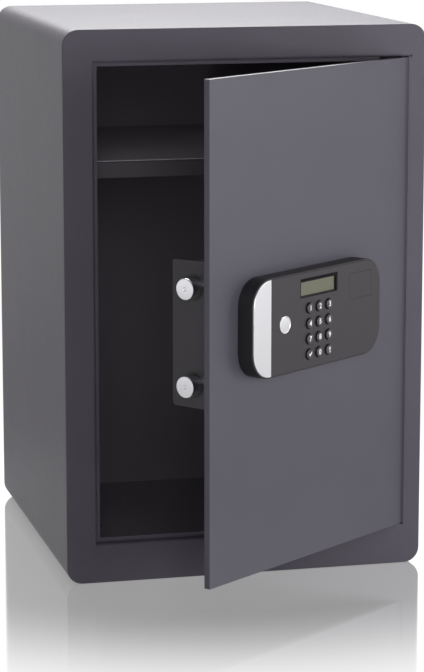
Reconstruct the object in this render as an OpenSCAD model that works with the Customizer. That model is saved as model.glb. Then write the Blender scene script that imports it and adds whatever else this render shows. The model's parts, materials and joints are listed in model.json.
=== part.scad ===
// Electronic safe with a hinged steel door, two motor-driven bolts and a keypad.
// Frame: +X right, +Z up, the front faces -Y. The origin is the centre of the base.
// Door parts are drawn with the door closed, then turned about the hinge pins.

/* [Body] */
// Outside width of the body
body_w = 350; // [344:1:400]
// Outside height of the body
body_h = 525; // [500:1:600]
// Outside depth of the body, front face to rear face
body_d = 360; // [340:1:450]
// Thickness of the folded sheet of top, base and sides
wall_t = 3; // [2:0.5:4]
// Outside radius of the four long corners
corner_r = 15; // [10:1:20]
// Thickness of the front panel
front_t = 3; // [2.5:0.5:4]
// Thickness of the rear panel
rear_t = 3; // [2:0.5:5]
// Front border on the bolt side of the opening
border_left = 29.2; // [28:0.1:36]
// Front border on the hinge side of the opening
border_right = 15; // [12:1:18]
// Front border above the opening
border_top = 30.5; // [24:0.5:40]
// Front border below the opening
border_bottom = 38.5; // [28:0.5:45]
// Depth of the flange that is turned in round the opening
flange_d = 12; // [10:1:14]
// Thickness of that flange
flange_t = 3; // [2:0.5:4]
// Width of the stop that the door closes against
stop_w = 4; // [3:0.1:4.4]
// Thickness of that stop
stop_t = 3; // [2:0.5:3.5]
// Diameter of the anchor holes in base and rear
anchor_dia = 12; // [10:0.5:14]
// Distance between the two anchor holes of a wall
anchor_pitch = 230; // [120:5:240]
// Height of the rear anchor holes above the base
anchor_z = 250; // [150:5:330]

/* [Door] */
// Thickness of the door plate
door_t = 6; // [5:0.5:8]
// Gap at the bolt side of the door
gap_free = 1; // [0.8:0.1:2]
// Gap at the hinge side of the door
gap_hinge = 1.8; // [1.8:0.1:3]
// Gap above and below the door
gap_z = 1; // [0.8:0.1:2]
// Hinge axis behind the outer face of the door
pivot_in = 4; // [3.8:0.1:4.2]
// Hinge axis from the hinge edge of the door
pivot_side = 5; // [4.5:0.1:7]
// Angle at which the door stands open
rest_angle = 37.5; // [0:0.5:100]
// Diameter of the hinge pins
pin_dia = 4; // [3:0.5:4.5]
// Length of a hinge pin inside its lug
pin_in_lug = 12; // [8:1:14]
// Height of a hinge lug
lug_h = 16; // [15:1:24]

/* [Bolts] */
// Diameter of the two bolts
bolt_dia = 20; // [14:1:22]
// Distance between the bolt axes
bolt_pitch = 88.2; // [80:0.1:92]
// Height of the middle of the lock above the base
lock_z = 262.4; // [240:0.1:275]
// Bolt axis behind the inner face of the door
bolt_in = 27; // [25:0.5:28]
// Travel of the bolts
bolt_throw = 20; // [14:1:22]
// Length of a drawn bolt that stands out of its guide
bolt_out = 12.5; // [10:0.5:13]
// Guide bracket from the free edge of the door
guide_setback = 18.5; // [17:0.5:22]
// Thickness of the guide bracket
guide_t = 3; // [2:0.5:4]
// Height of the guide bracket
guide_h = 132.4; // [128:0.1:140]
// Depth of the guide bracket behind the door
guide_d = 50.7; // [49:0.1:53]
// Middle of the guide bracket above the middle of the lock
guide_rise = 1.3; // [0:0.1:2]

/* [Gear drive] */
// Module of the rack and pinion
gear_module = 1; // [0.8:0.1:1]
// Number of teeth on the pinion
pinion_teeth = 18; // [16:1:20]
// Width of the rack and of the pinion
gear_w = 10; // [6:0.5:12]
// Diameter of the output shaft
shaft_dia = 5; // [4:0.5:6]
// Pinion axis from the guide bracket
pinion_x = 82; // [80:1:90]

/* [Lock cover] */
// Length of the lock cover
cover_l = 226; // [222:1:235]
// Height of the lock cover
cover_h = 125; // [122:1:127]
// Thickness of the cover sheet
cover_t = 1.5; // [1:0.25:2]
// Diameter of a battery cell
cell_dia = 14.3; // [13.5:0.1:14.4]
// Length of a battery cell
cell_l = 50; // [48:0.5:51]

/* [Keypad] */
// Width of the keypad housing
pad_w = 195.5; // [190:0.1:200]
// Height of the keypad housing
pad_h = 90.6; // [87:0.1:94]
// Depth of the keypad housing in front of the door
pad_d = 17; // [15:0.5:20]
// Corner radius of the keypad housing
pad_r = 25; // [20:0.5:27]
// Middle of the keypad from the free edge of the door
pad_x = 137.9; // [130:0.1:140]
// Middle of the keypad above the middle of the lock
pad_z = 5.7; // [-2:0.1:8]
// Width of the bright end cap
cap_w = 27; // [20:0.5:30]
// Diameter of the round badge
badge_dia = 16; // [12:0.5:18]
// Diameter of a key
key_dia = 9.75; // [8:0.25:10.5]
// Height of a key above the face
key_rise = 2; // [0.5:0.1:2.5]
// Distance between key columns
key_pitch_x = 14.7; // [13.8:0.1:16]
// Distance between key rows
key_pitch_z = 14.2; // [13.8:0.1:14.4]
// Travel of a key
key_travel = 1.2; // [0.6:0.1:1.3]
// Width of the display window
lcd_w = 55; // [40:0.5:58]
// Height of the display window
lcd_h = 14; // [10:0.5:15]
// Width of the override lock's cover
hatch_w = 35; // [28:0.5:36]
// Height of the override lock's cover
hatch_h = 24; // [22:0.5:27]
// Diameter of the override lock
lock_dia = 19; // [16:0.5:20]

/* [Interior] */
// Height of the top of the shelf above the base
shelf_z = 396.5; // [360:0.5:440]
// Height of the shelf's folded edge
shelf_lip = 17; // [12:1:24]
// Top sheet of the shelf beyond its front edge
shelf_nose = 2; // [0.5:0.5:4]
// Thickness of the shelf sheet
shelf_t = 1.5; // [1:0.25:3]
// Gap between the shelf and the side walls
shelf_gap = 1; // [0.5:0.1:2]
// Shelf from the inner face of the front panel
shelf_setback = 59; // [58:1:90]
// Thickness of the floor mat
mat_t = 5; // [2:0.5:8]

/* [Hidden] */
$fn = 64;
eps = 0.5;
// Clearances: running fits, pressed pieces, face of a bolt hole, door to its stop
run_fit = 0.05;
press_fit = 0.02;
strike_fit = 1;
stop_fit = 0.5;

front_y = -body_d / 2;
rear_y = body_d / 2;
open_x0 = -body_w / 2 + border_left;
open_x1 = body_w / 2 - border_right;
open_z0 = border_bottom;
open_z1 = body_h - border_top;
in_x = body_w / 2 - wall_t;
flange_y = front_y + front_t + flange_d;

door_x0 = open_x0 + gap_free;
door_x1 = open_x1 - gap_hinge;
door_z0 = open_z0 + gap_z;
door_z1 = open_z1 - gap_z;
door_in = front_y + door_t;
pivot = [door_x1 - pivot_side, front_y + pivot_in];
pin_r = pin_dia / 2;
lug_wall = 1;
lug_front = pivot[1] - pin_r - lug_wall;
lug_boss_r = pin_r + 3;
lug_l = 20;
lug_back = pivot[1] + 7.5;
stop_y = door_in + stop_fit;
stop_x1 = pivot[0] - lug_l - 2;
pin_block = 10;

guide_x = door_x0 + guide_setback;
guide_y = door_in + guide_d;
guide_in = guide_x + guide_t;
guide_c = lock_z + guide_rise;
guide_r = [3.5, 2];
bolt_r = bolt_dia / 2;
bolt_y = door_in + bolt_in;
bolt_z = [lock_z - bolt_pitch / 2, lock_z + bolt_pitch / 2];
bush_wall = 2;
bush_r = bolt_r + bush_wall;
bush_l = 8;
carrier_t = 4;
carrier_x = guide_in + bolt_throw + 15;
carrier_w = 24;
carrier_h = bolt_pitch + 29;
bolt_x = guide_x - bolt_out;
spigot_r = 5;

pitch_r = gear_module * pinion_teeth / 2;
backlash = 0.2;
pinion_c = [guide_x + pinion_x, bolt_y - 7];
pitch_y = pinion_c[1] + pitch_r + 0.05;
rack_back = 5.5;
rack_z0 = lock_z - gear_w / 2;
shaft_r = shaft_dia / 2;
hub_h = 3;
plate_z = rack_z0 - hub_h - 0.5;
plate_t = 2;
plate_w = 40;
plate_over = 12;
gearbox_h = 20;
gearbox_w = 24;
motor_l = 26;
motor_r = 10;

cover_y1 = guide_y;
cover_x1 = guide_in + cover_l;
cover_z0 = lock_z + 0.75 - cover_h / 2;
cover_z1 = cover_z0 + cover_h;
cover_in = cover_y1 - cover_t;
pillar_r = 3.5;
pillar_x = [guide_in + 61, cover_x1 - 8];
pillar_z = [cover_z0 + 8, cover_z1 - 8];
tray_wall = 1.5;
cell_pitch = cell_dia + 0.3;
tray_l = cell_l + 8 + 2 * tray_wall;
tray_h = 4 * cell_pitch + 0.6 + 2 * tray_wall;
tray_d = cell_dia + 1 + tray_wall;
tray_x0 = cover_x1 - 10 - tray_l;
tray_z0 = lock_z - tray_h / 2 - 2;
lid_t = 1.8;
lid_over = 2.5;
lid_gap = 0.15;
rail_t = 1.5;
board_x0 = guide_in + 104;
board_x1 = tray_x0 - 4;
board_z0 = lock_z - 46;
board_h = 92;
board_y = door_in + 14;
board_t = 1.6;
reset_x = board_x0 + 22;
reset_z = lock_z - 24;
reset_r = 3;
reset_travel = 1.5;
chip_w = 16;
chip_z = board_z0 + 48;
relay_h = 18;
relay_z = board_z0 + 40;
plug_w = 8;
plug_h = 10;
buffer_z = board_z0 + 24;

pad_c = [door_x0 + pad_x, lock_z + pad_z];
pad_face = front_y - pad_d;
rim = 1.2;
inlay_t = 2;
inlay_back = pad_face + inlay_t;
pad_rim_y = pad_face + 0.4;
cap_edge = pad_c[0] - pad_w / 2 + cap_w;
seam = 0.15;
badge_c = [cap_edge + 19.7, pad_c[1] + 0.7];
badge_t = 0.8;
lcd_c = [pad_c[0] + 0.5, pad_c[1] + pad_h / 2 - 15.9];
lcd_t = 2.5;
key_c = [pad_c[0] + 0.4, pad_c[1] - 10.35];
key_r = key_dia / 2;
key_slot = 0.35;
key_flange = 0.8;
key_edge = 0.8;
key_back = inlay_back + 2.6;
dome_gap = 0.15;
mat_y = key_back + key_travel + dome_gap;
dome_h = 1.5;
key_mat_t = 1.2;
pcb_y = mat_y + dome_h + key_mat_t;
pcb_t = 1.6;
cavity_back = front_y - 2;
cavity_x0 = pad_c[0] - pad_w / 2 + 34;
cavity_x1 = pad_c[0] + 36;
cavity_h = pad_h - 9;
hatch_c = [pad_c[0] + pad_w / 2 - 32.3, pad_c[1] + pad_h / 2 - 23.3];
hatch_t = 1.5;
lock_r = lock_dia / 2;
plug_r = 5.5;
lock_face = pad_face + 3;
lock_back = door_in + 8;
ribbon_x = board_x0 + 12;
ribbon_w = 16;
ribbon_z = board_z0 + board_h - 10;
pad_screw_x = pad_w / 2 - 18;
pad_screw_z = pad_h / 2 - 19;
pad_screws = [for (x = [-1, 1], z = [-1, 1]) [pad_c[0] + x * pad_screw_x, pad_c[1] + z * pad_screw_z]];

shelf_x = in_x - shelf_gap;
shelf_y0 = front_y + front_t + shelf_setback;
shelf_y1 = rear_y - rear_t - 5;
ledge_w = 12;
ledge_t = 1.5;
ledge_z = shelf_z - shelf_lip;
bracket_h = 22;

KEY_NAMES = [
    "key_1", "key_2", "key_3", "key_4", "key_5", "key_6",
    "key_7", "key_8", "key_9", "key_enter", "key_0", "key_cancel"
];

// A block between two corners
module block(a, b) {
    translate(a) cube(b - a);
}

// A plate parallel to the front, from y0 to y1, with a 2D outline in X and Z
module plate_y(y0, y1) {
    translate([0, y1, 0]) rotate([90, 0, 0]) linear_extrude(y1 - y0) children();
}

// Round bars along X, Y and Z
module bar_x(x0, x1, y, z, r) {
    translate([x0, y, z]) rotate([0, 90, 0]) cylinder(h = x1 - x0, r = r);
}

module bar_y(y0, y1, x, z, r) {
    translate([x, y1, z]) rotate([90, 0, 0]) cylinder(h = y1 - y0, r = r);
}

module bar_z(z0, z1, x, y, r) {
    translate([x, y, z0]) cylinder(h = z1 - z0, r = r);
}

// A rectangle with rounded corners about its centre
module round_rect(w, h, r) {
    square([w - 2 * r, h], center = true);
    square([w, h - 2 * r], center = true);
    for (x = [-1, 1], z = [-1, 1]) translate([x * (w / 2 - r), z * (h / 2 - r)]) circle(r);
}

// A pan-head screw along Y: the head lies from face_y, the shank runs dir * -shank from it
module screw_y(x, face_y, z, dir, head_r, head_h, shank_r, shank) {
    bar_y(min(face_y, face_y + dir * head_h), max(face_y, face_y + dir * head_h), x, z, head_r);
    bar_y(min(face_y, face_y - dir * shank), max(face_y, face_y - dir * shank), x, z, shank_r);
}

// Turns a door piece from its closed place to the open rest place
module on_door() {
    translate([pivot[0], pivot[1], 0])
        rotate([0, 0, rest_angle])
            translate([-pivot[0], -pivot[1], 0]) children();
}

module body_outline() {
    translate([0, body_h / 2]) round_rect(body_w, body_h, corner_r);
}

module anchor_holes(dia) {
    for (x = [-1, 1]) translate([x * anchor_pitch / 2, 0]) circle(d = dia);
}

// Folded sheet of base, sides and top, seen along the depth as one closed band
module outer_wrap() color("#5f5e63") difference() {
    plate_y(front_y + front_t, rear_y - rear_t) difference() {
        body_outline();
        translate([0, body_h / 2])
            round_rect(body_w - 2 * wall_t, body_h - 2 * wall_t, corner_r - wall_t);
    }
    translate([0, 0, -eps]) linear_extrude(wall_t + 2 * eps) anchor_holes(anchor_dia);
}

// Stop inside the flange, behind the door: on the bolt side, above and below, clear of the lugs
module door_stop() {
    block([open_x0 - eps, stop_y, open_z0], [open_x0 + stop_w, stop_y + stop_t, open_z1]);
    block([open_x0, stop_y, open_z0 - eps], [stop_x1, stop_y + stop_t, open_z0 + stop_w]);
    block([open_x0, stop_y, open_z1 - stop_w], [stop_x1, stop_y + stop_t, open_z1 + eps]);
}

// Front panel with the flange round the opening, the stop and the two pin blocks
module front_frame() color("#55535a") difference() {
    union() {
        door_stop();
        plate_y(front_y, front_y + front_t) difference() {
            body_outline();
            translate([open_x0, open_z0]) square([open_x1 - open_x0, open_z1 - open_z0]);
        }
        difference() {
            block([open_x0 - flange_t, front_y + front_t, open_z0 - flange_t],
                  [open_x1 + flange_t, flange_y, open_z1 + flange_t]);
            block([open_x0, front_y, open_z0], [open_x1, flange_y + eps, open_z1]);
        }
        for (z = [open_z0 - flange_t - pin_block, open_z1 + flange_t])
            block([pivot[0] - 8, front_y + front_t, z],
                  [pivot[0] + 8, flange_y - 2, z + pin_block]);
    }
    for (z = [open_z0 - flange_t - pin_block - eps, open_z1 - eps])
        bar_z(z, z + pin_block + flange_t + 2 * eps, pivot[0], pivot[1], pin_r + press_fit);
}

// Rear panel with two anchor holes
module rear_panel() color("#55535a") plate_y(rear_y - rear_t, rear_y) difference() {
    body_outline();
    translate([0, anchor_z]) anchor_holes(anchor_dia);
}

// Angle behind the flange that the bolts shoot into
module strike_plate() color("#3a393d") difference() {
    union() {
        block([open_x0 - flange_t, flange_y, bolt_z[0] - 36],
              [open_x0, bolt_y + bolt_r + 9, bolt_z[1] + 36]);
        block([-in_x, bolt_y + bolt_r + 9, bolt_z[0] - 36],
              [open_x0, bolt_y + bolt_r + 12, bolt_z[1] + 36]);
    }
    for (z = bolt_z)
        bar_x(open_x0 - flange_t - eps, open_x0 + eps, bolt_y, z, bolt_r + strike_fit);
}

module hinge_pin(z0, z1) {
    bar_z(z0, z1, pivot[0], pivot[1], pin_r);
}

module upper_hinge_pin() color("#b9b9bd")
    hinge_pin(door_z1 - pin_in_lug, open_z1 + flange_t + pin_block);

module lower_hinge_pin() color("#b9b9bd")
    hinge_pin(open_z0 - flange_t - pin_block, door_z0 + pin_in_lug);

// Angle on a side wall, its ledge on top: side is -1 for left and 1 for right
module shelf_bracket(side) color("#2c2b2e") {
    x0 = side < 0 ? -in_x : in_x - ledge_w;
    x1 = side < 0 ? -in_x : in_x - ledge_t;
    block([x0, shelf_y0 + 6, ledge_z - ledge_t], [x0 + ledge_w, shelf_y1 - 6, ledge_z]);
    block([x1, shelf_y0 + 6, ledge_z - bracket_h], [x1 + ledge_t, shelf_y1 - 6, ledge_z]);
}

// Mat on the base with cut-outs over the anchor holes
module floor_mat() color("#1d1c1e") difference() {
    block([-in_x + corner_r - wall_t, flange_y + 3, wall_t],
          [in_x - corner_r + wall_t, rear_y - rear_t - 1, wall_t + mat_t]);
    translate([0, 0, wall_t - eps]) linear_extrude(mat_t + 2 * eps) anchor_holes(anchor_dia + 10);
}

// Folded tray that lies on the two brackets: edges turned down, the top sheet out over the front one
module shelf() color("#38363a") difference() {
    union() {
        block([-shelf_x, shelf_y0, ledge_z], [shelf_x, shelf_y1, shelf_z]);
        block([-shelf_x, shelf_y0 - shelf_nose, shelf_z - shelf_t], [shelf_x, shelf_y0 + eps, shelf_z]);
    }
    block([-shelf_x + shelf_t, shelf_y0 + shelf_t, ledge_z - eps],
          [shelf_x - shelf_t, shelf_y1 - shelf_t, shelf_z - shelf_t]);
}

// Where a lug lies on the door plate; z0 is its lower face
module lug_space(z0, grow) {
    block([pivot[0] - lug_l - grow, lug_front, z0], [pivot[0], lug_back, z0 + lug_h]);
    intersection() {
        bar_z(z0, z0 + lug_h, pivot[0], pivot[1], lug_boss_r + grow);
        block([pivot[0] - 1, lug_front, z0], [pivot[0] + 20, lug_back + 20, z0 + lug_h]);
    }
}

module door_plate() color("#62606a") on_door() difference() {
    block([door_x0, front_y, door_z0], [door_x1, door_in, door_z1]);
    for (z = [door_z0, door_z1 - lug_h]) {
        lug_space(z, 0.1);
        block([pivot[0], lug_front, z], [door_x1 + eps, door_in + eps, z + lug_h]);
    }
    block([ribbon_x - 2, front_y - eps, ribbon_z - 3],
          [ribbon_x + ribbon_w + 2, door_in + eps, ribbon_z + 3]);
    bar_y(front_y - eps, door_in + eps, hatch_c[0], hatch_c[1], lock_r + 0.2);
    for (p = pad_screws) bar_y(front_y - eps, door_in + eps, p[0], p[1], 2.2);
}

module hinge_lug(z0, bore_z0) color("#8d8c92") on_door() difference() {
    lug_space(z0, 0);
    bar_z(bore_z0 - eps, bore_z0 + pin_in_lug + 0.5 + eps, pivot[0], pivot[1], pin_r + run_fit);
}

module upper_hinge_lug() hinge_lug(door_z1 - lug_h, door_z1 - pin_in_lug - 0.5);

module lower_hinge_lug() hinge_lug(door_z0, door_z0);

// Thrust washer under the lower lug
module hinge_washer() color("#c9b37a") on_door() difference() {
    bar_z(open_z0 + run_fit, door_z0, pivot[0], pivot[1], pin_r + 1.8);
    bar_z(open_z0 - eps, door_z0 + eps, pivot[0], pivot[1], pin_r + run_fit);
}

foot_l = 22;
foot_z = [cover_z0 + cover_t + 4, cover_z1 - cover_t - 4];
foot_inset = 8;
foot_step = (foot_z[1] - foot_z[0] - 2 * foot_inset) / 3;
guide_screws = [for (k = [0:3]) [guide_in + foot_l - 9, foot_z[0] + foot_inset + k * foot_step]];
plate_foot_h = 26;
plate_foot_z = plate_z - plate_foot_h;
plate_screws = [for (x = [-1, 1]) [pinion_c[0] + x * (plate_w / 2 - 6), plate_foot_z + 8]];

// Angle that carries the bolts: the visible leg is pierced, the foot lies on the door
module guide_bracket() color("#3d3b40") on_door() difference() {
    union() {
        difference() {
            block([guide_x, door_in, guide_c - guide_h / 2],
                  [guide_in, guide_y, guide_c + guide_h / 2]);
            for (s = [-1, 1]) guide_corner(s);
        }
        block([guide_in - eps, door_in, foot_z[0]], [guide_in + foot_l, door_in + guide_t, foot_z[1]]);
    }
    for (z = bolt_z) bar_x(guide_x - eps, guide_in + eps, bolt_y, z, bush_r + press_fit);
    for (p = guide_screws) bar_y(door_in - eps, door_in + guide_t + eps, p[0], p[1], 2.1);
}

// Cutter for a rounded rear corner of the visible leg: s is -1 below and 1 above
module guide_corner(s) {
    r = s < 0 ? guide_r[0] : guide_r[1];
    z = guide_c + s * guide_h / 2;
    difference() {
        block([guide_x - eps, guide_y - r, min(z, z - s * r)],
              [guide_in + eps, guide_y + eps, max(z, z - s * r)]);
        bar_x(guide_x - 2 * eps, guide_in + 2 * eps, guide_y - r, z - s * r, r);
    }
}

// Plastic bushes, each with a flange behind the bracket
module guide_bushes() color("#141416") on_door() for (z = bolt_z) difference() {
    union() {
        bar_x(guide_x, guide_in + bush_l - guide_t, bolt_y, z, bush_r);
        bar_x(guide_in, guide_in + 2, bolt_y, z, bush_r + 2.5);
    }
    bar_x(guide_x - eps, guide_in + bush_l, bolt_y, z, bolt_r + run_fit);
}

module bracket_screws() color("#a9a9ad") on_door() {
    for (p = guide_screws)
        screw_y(p[0], door_in + guide_t, p[1], 1, 3.8, 2.2, 2, guide_t);
    for (p = plate_screws)
        screw_y(p[0], door_in + plate_t, p[1], 1, 3.8, 2.2, 2, plate_t);
}

// A bolt with a chamfered end, a spigot for the carrier and a threaded hole
module lock_bolt(z) color("#c9c9cd") on_door() difference() {
    union() {
        translate([bolt_x, bolt_y, z]) rotate([0, 90, 0]) cylinder(h = 1, r1 = bolt_r - 1, r2 = bolt_r);
        bar_x(bolt_x + 1, carrier_x, bolt_y, z, bolt_r);
        bar_x(carrier_x, carrier_x + carrier_t, bolt_y, z, spigot_r);
    }
    bar_x(carrier_x + carrier_t - 14, carrier_x + carrier_t + eps, bolt_y, z, 2.5 + press_fit);
}

module upper_bolt() lock_bolt(bolt_z[1]);

module lower_bolt() lock_bolt(bolt_z[0]);

rack_screw_z = [-14, 14];

// Bar that joins the rear ends of the bolts
module bolt_carrier() color("#8f8f94") on_door() difference() {
    block([carrier_x, bolt_y - carrier_w / 2 + 2, lock_z - carrier_h / 2],
          [carrier_x + carrier_t, bolt_y + carrier_w / 2 + 2, lock_z + carrier_h / 2]);
    for (z = bolt_z) bar_x(carrier_x - eps, carrier_x + carrier_t + eps, bolt_y, z, spigot_r + press_fit);
    for (z = rack_screw_z)
        bar_x(carrier_x - eps, carrier_x + carrier_t + eps, pitch_y + 4, lock_z + z, 1.5 + press_fit);
}

rack_x0 = carrier_x + carrier_t;
rack_foot_t = 3;
rack_foot_h = 36;
rack_foot_w = 7;
tooth_pitch = PI * gear_module;
rack_first = ceil((rack_x0 + rack_foot_t + 3 - pinion_c[0]) / tooth_pitch);
rack_last = rack_first + floor(bolt_throw / tooth_pitch) + 13;
rack_x1 = pinion_c[0] + (rack_last + 0.6) * tooth_pitch;

// One rack tooth on the pitch line, its tip towards -Y
module rack_tooth(x) {
    half = (tooth_pitch / 2 - backlash) / 2;
    slope = tan(20);
    tip = half - gear_module * slope;
    root = half + 1.25 * gear_module * slope;
    polygon([
        [x - tip, pitch_y - gear_module], [x + tip, pitch_y - gear_module],
        [x + root, pitch_y + 1.25 * gear_module + 0.1], [x - root, pitch_y + 1.25 * gear_module + 0.1]
    ]);
}

// Toothed bar with a foot on the carrier
module rack() color("#b5b5ba") on_door() difference() {
    union() {
        translate([0, 0, rack_z0]) linear_extrude(gear_w) {
            translate([rack_x0, pitch_y + 1.25 * gear_module])
                square([rack_x1 - rack_x0, rack_back]);
            for (k = [rack_first:rack_last]) rack_tooth(pinion_c[0] + k * tooth_pitch);
        }
        block([rack_x0, pitch_y + 0.5, lock_z - rack_foot_h / 2],
              [rack_x0 + rack_foot_t, pitch_y + 0.5 + rack_foot_w, lock_z + rack_foot_h / 2]);
    }
    for (z = rack_screw_z)
        bar_x(rack_x0 - eps, rack_x0 + rack_foot_t + eps, pitch_y + 4, lock_z + z, 1.5 + press_fit);
}

// Screws of the bolts and of the rack, driven from behind the carrier
module carrier_screws() color("#a9a9ad") on_door() {
    for (z = bolt_z) {
        bar_x(rack_x0, rack_x0 + 3, bolt_y, z, 5);
        bar_x(rack_x0 - 12, rack_x0, bolt_y, z, 2.5);
    }
    for (z = rack_screw_z) {
        bar_x(rack_x0 + rack_foot_t, rack_x0 + rack_foot_t + 2, pitch_y + 4, lock_z + z, 2.7);
        bar_x(rack_x0 - carrier_t, rack_x0 + rack_foot_t, pitch_y + 4, lock_z + z, 1.5);
    }
}

base_r = pitch_r * cos(20);
tip_r = pitch_r + gear_module;
root_r = pitch_r - 1.25 * gear_module;
function involute(a) = tan(a) * 180 / PI - a;
// Half the angle that a tooth fills at a radius
function tooth_half(r) =
    (tooth_pitch / 2 - backlash) / 2 / pitch_r * 180 / PI
    + involute(20) - involute(r > base_r ? acos(base_r / r) : 0);
flank_steps = 5;
flank = [
    for (i = [0:flank_steps])
        let (r = base_r + (tip_r - base_r) * i / flank_steps) [r, tooth_half(r)]
];
function at_angle(r, a) = [r * cos(a), r * sin(a)];
// Outline of one tooth whose middle lies at an angle
function tooth(a) = concat(
    [at_angle(root_r, a - tooth_half(base_r))],
    [for (p = flank) at_angle(p[0], a - p[1])],
    [for (i = [flank_steps:-1:0]) at_angle(flank[i][0], a + flank[i][1])],
    [at_angle(root_r, a + tooth_half(base_r))]
);

// Involute pinion with a hub; a tooth space faces the rack
module pinion() color("#c8b06a") on_door() translate([pinion_c[0], pinion_c[1], 0]) difference() {
    union() {
        translate([0, 0, rack_z0]) linear_extrude(gear_w)
            polygon([for (k = [0:pinion_teeth - 1]) each tooth(90 + (k + 0.5) * 360 / pinion_teeth)]);
        bar_z(rack_z0 - hub_h, rack_z0, 0, 0, 5);
    }
    bar_z(rack_z0 - hub_h - eps, rack_z0 + gear_w + eps, 0, 0, shaft_r + press_fit);
}

module output_shaft() color("#b9b9bd") on_door()
    bar_z(plate_z - plate_t - 12, rack_z0 + gear_w + 1.5, pinion_c[0], pinion_c[1], shaft_r);

gearbox_z1 = plate_z - plate_t;
gearbox_z0 = gearbox_z1 - gearbox_h;
gearbox_screws = [for (x = [-8, 8]) [pinion_c[0] + x, pinion_c[1] + 6]];

module gearbox() color("#d8d8d2") on_door() difference() {
    block([pinion_c[0] - gearbox_w / 2, pinion_c[1] - 10, gearbox_z0],
          [pinion_c[0] + gearbox_w / 2, pinion_c[1] + 10, gearbox_z1]);
    bar_z(gearbox_z1 - 12.5, gearbox_z1 + eps, pinion_c[0], pinion_c[1], shaft_r + run_fit);
    for (p = gearbox_screws) bar_z(gearbox_z1 - 5, gearbox_z1 + eps, p[0], p[1], 1.5 + press_fit);
}

module motor_can() color("#9fa0a4") on_door() {
    bar_z(gearbox_z0 - motor_l, gearbox_z0, pinion_c[0], pinion_c[1], motor_r);
    bar_z(gearbox_z0 - motor_l - 1.5, gearbox_z0 - motor_l, pinion_c[0], pinion_c[1], 3.5);
}

// Angle that carries the gearmotor: the foot on the door hangs below the plate
module motor_bracket() color("#77777c") on_door() difference() {
    union() {
        block([pinion_c[0] - plate_w / 2, door_in, plate_z - plate_t],
              [pinion_c[0] + plate_w / 2, pinion_c[1] + plate_over, plate_z]);
        block([pinion_c[0] - plate_w / 2, door_in, plate_foot_z],
              [pinion_c[0] + plate_w / 2, door_in + plate_t, plate_z - eps]);
    }
    bar_z(plate_z - plate_t - eps, plate_z + eps, pinion_c[0], pinion_c[1], shaft_r + 1);
    for (p = gearbox_screws) bar_z(plate_z - plate_t - eps, plate_z + eps, p[0], p[1], 1.6);
    for (p = plate_screws) bar_y(door_in - eps, door_in + plate_t + eps, p[0], p[1], 2.1);
}

module motor_screws() color("#a9a9ad") on_door() for (p = gearbox_screws) {
    bar_z(plate_z, plate_z + 2, p[0], p[1], 2.7);
    bar_z(gearbox_z1 - 5, plate_z, p[0], p[1], 1.5);
}

lid_x0 = tray_x0 - lid_over;
lid_x1 = tray_x0 + tray_l + lid_over;
lid_z0 = tray_z0 - lid_over;
lid_z1 = tray_z0 + tray_h + lid_over;

// Cutter for a rounded rear edge of the cover: s is -1 below and 1 above
module cover_edge(r, y, z, s) {
    difference() {
        block([guide_in - eps, y - r, min(z, z - s * r)], [cover_x1 + eps, y + eps, max(z, z - s * r)]);
        bar_x(guide_in - 2 * eps, cover_x1 + 2 * eps, y - r, z - s * r, r);
    }
}

// Folded cover over the mechanism, open towards the door and the guide bracket
module lock_cover() color("#2b2a2d") on_door() difference() {
    union() {
        difference() {
            block([guide_in, door_in, cover_z0], [cover_x1, cover_y1, cover_z1]);
            block([guide_in - eps, door_in - eps, cover_z0 + cover_t],
                  [cover_x1 - cover_t, cover_in, cover_z1 - cover_t]);
            cover_edge(4, cover_y1, cover_z0, -1);
            cover_edge(4, cover_y1, cover_z1, 1);
        }
        for (s = [-1, 1]) lid_rail(s);
    }
    block([tray_x0 + tray_wall, cover_in - eps, tray_z0 + tray_wall],
          [tray_x0 + tray_l - tray_wall, cover_y1 + eps, tray_z0 + tray_h - tray_wall]);
    bar_y(cover_in - eps, cover_y1 + eps, reset_x, reset_z, reset_r + 0.3);
    for (x = pillar_x, z = pillar_z) bar_y(cover_in - eps, cover_y1 + eps, x, z, 1.7);
}

// Rail that holds the battery lid along one long edge
module lid_rail(s) {
    z = s > 0 ? lid_z1 + lid_gap : lid_z0 - lid_gap;
    y1 = cover_y1 + lid_t + 2 * lid_gap;
    block([lid_x0, cover_y1 - eps, min(z, z + s * rail_t)],
          [lid_x1, y1 + rail_t, max(z, z + s * rail_t)]);
    block([lid_x0, y1, min(z - s * 2, z + s * rail_t)],
          [lid_x1, y1 + rail_t, max(z - s * 2, z + s * rail_t)]);
}

// Sliding battery lid with finger ribs
module battery_lid() color("#232225") on_door() {
    y0 = cover_y1 + lid_gap / 3;
    block([lid_x0, y0, lid_z0], [lid_x1, y0 + lid_t, lid_z1]);
    for (k = [0:4])
        block([lid_x1 - 8 - k * 3, y0 + lid_t - eps, lid_z0 + 18],
              [lid_x1 - 6.5 - k * 3, y0 + lid_t + 1, lid_z1 - 18]);
}

// Hexagonal pillars: four hold the cover, four carry the board
module standoffs() color("#c9c9cd") on_door() {
    for (x = pillar_x, z = pillar_z) difference() {
        hex_y(door_in, cover_in, x, z, pillar_r);
        bar_y(cover_in - 8, cover_in + eps, x, z, 1.5 + press_fit);
    }
    for (x = [board_x0 + 4, board_x1 - 4], z = [board_z0 + 4, board_z0 + board_h - 4])
        hex_y(door_in, board_y, x, z, 2.5);
}

module hex_y(y0, y1, x, z, r) {
    translate([x, y1, z]) rotate([90, 0, 0]) cylinder(h = y1 - y0, r = r, $fn = 6);
}

module cover_screws() color("#b9b9bd") on_door()
    for (x = pillar_x, z = pillar_z) screw_y(x, cover_y1, z, 1, 3, 1.8, 1.5, cover_t + 6);

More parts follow.
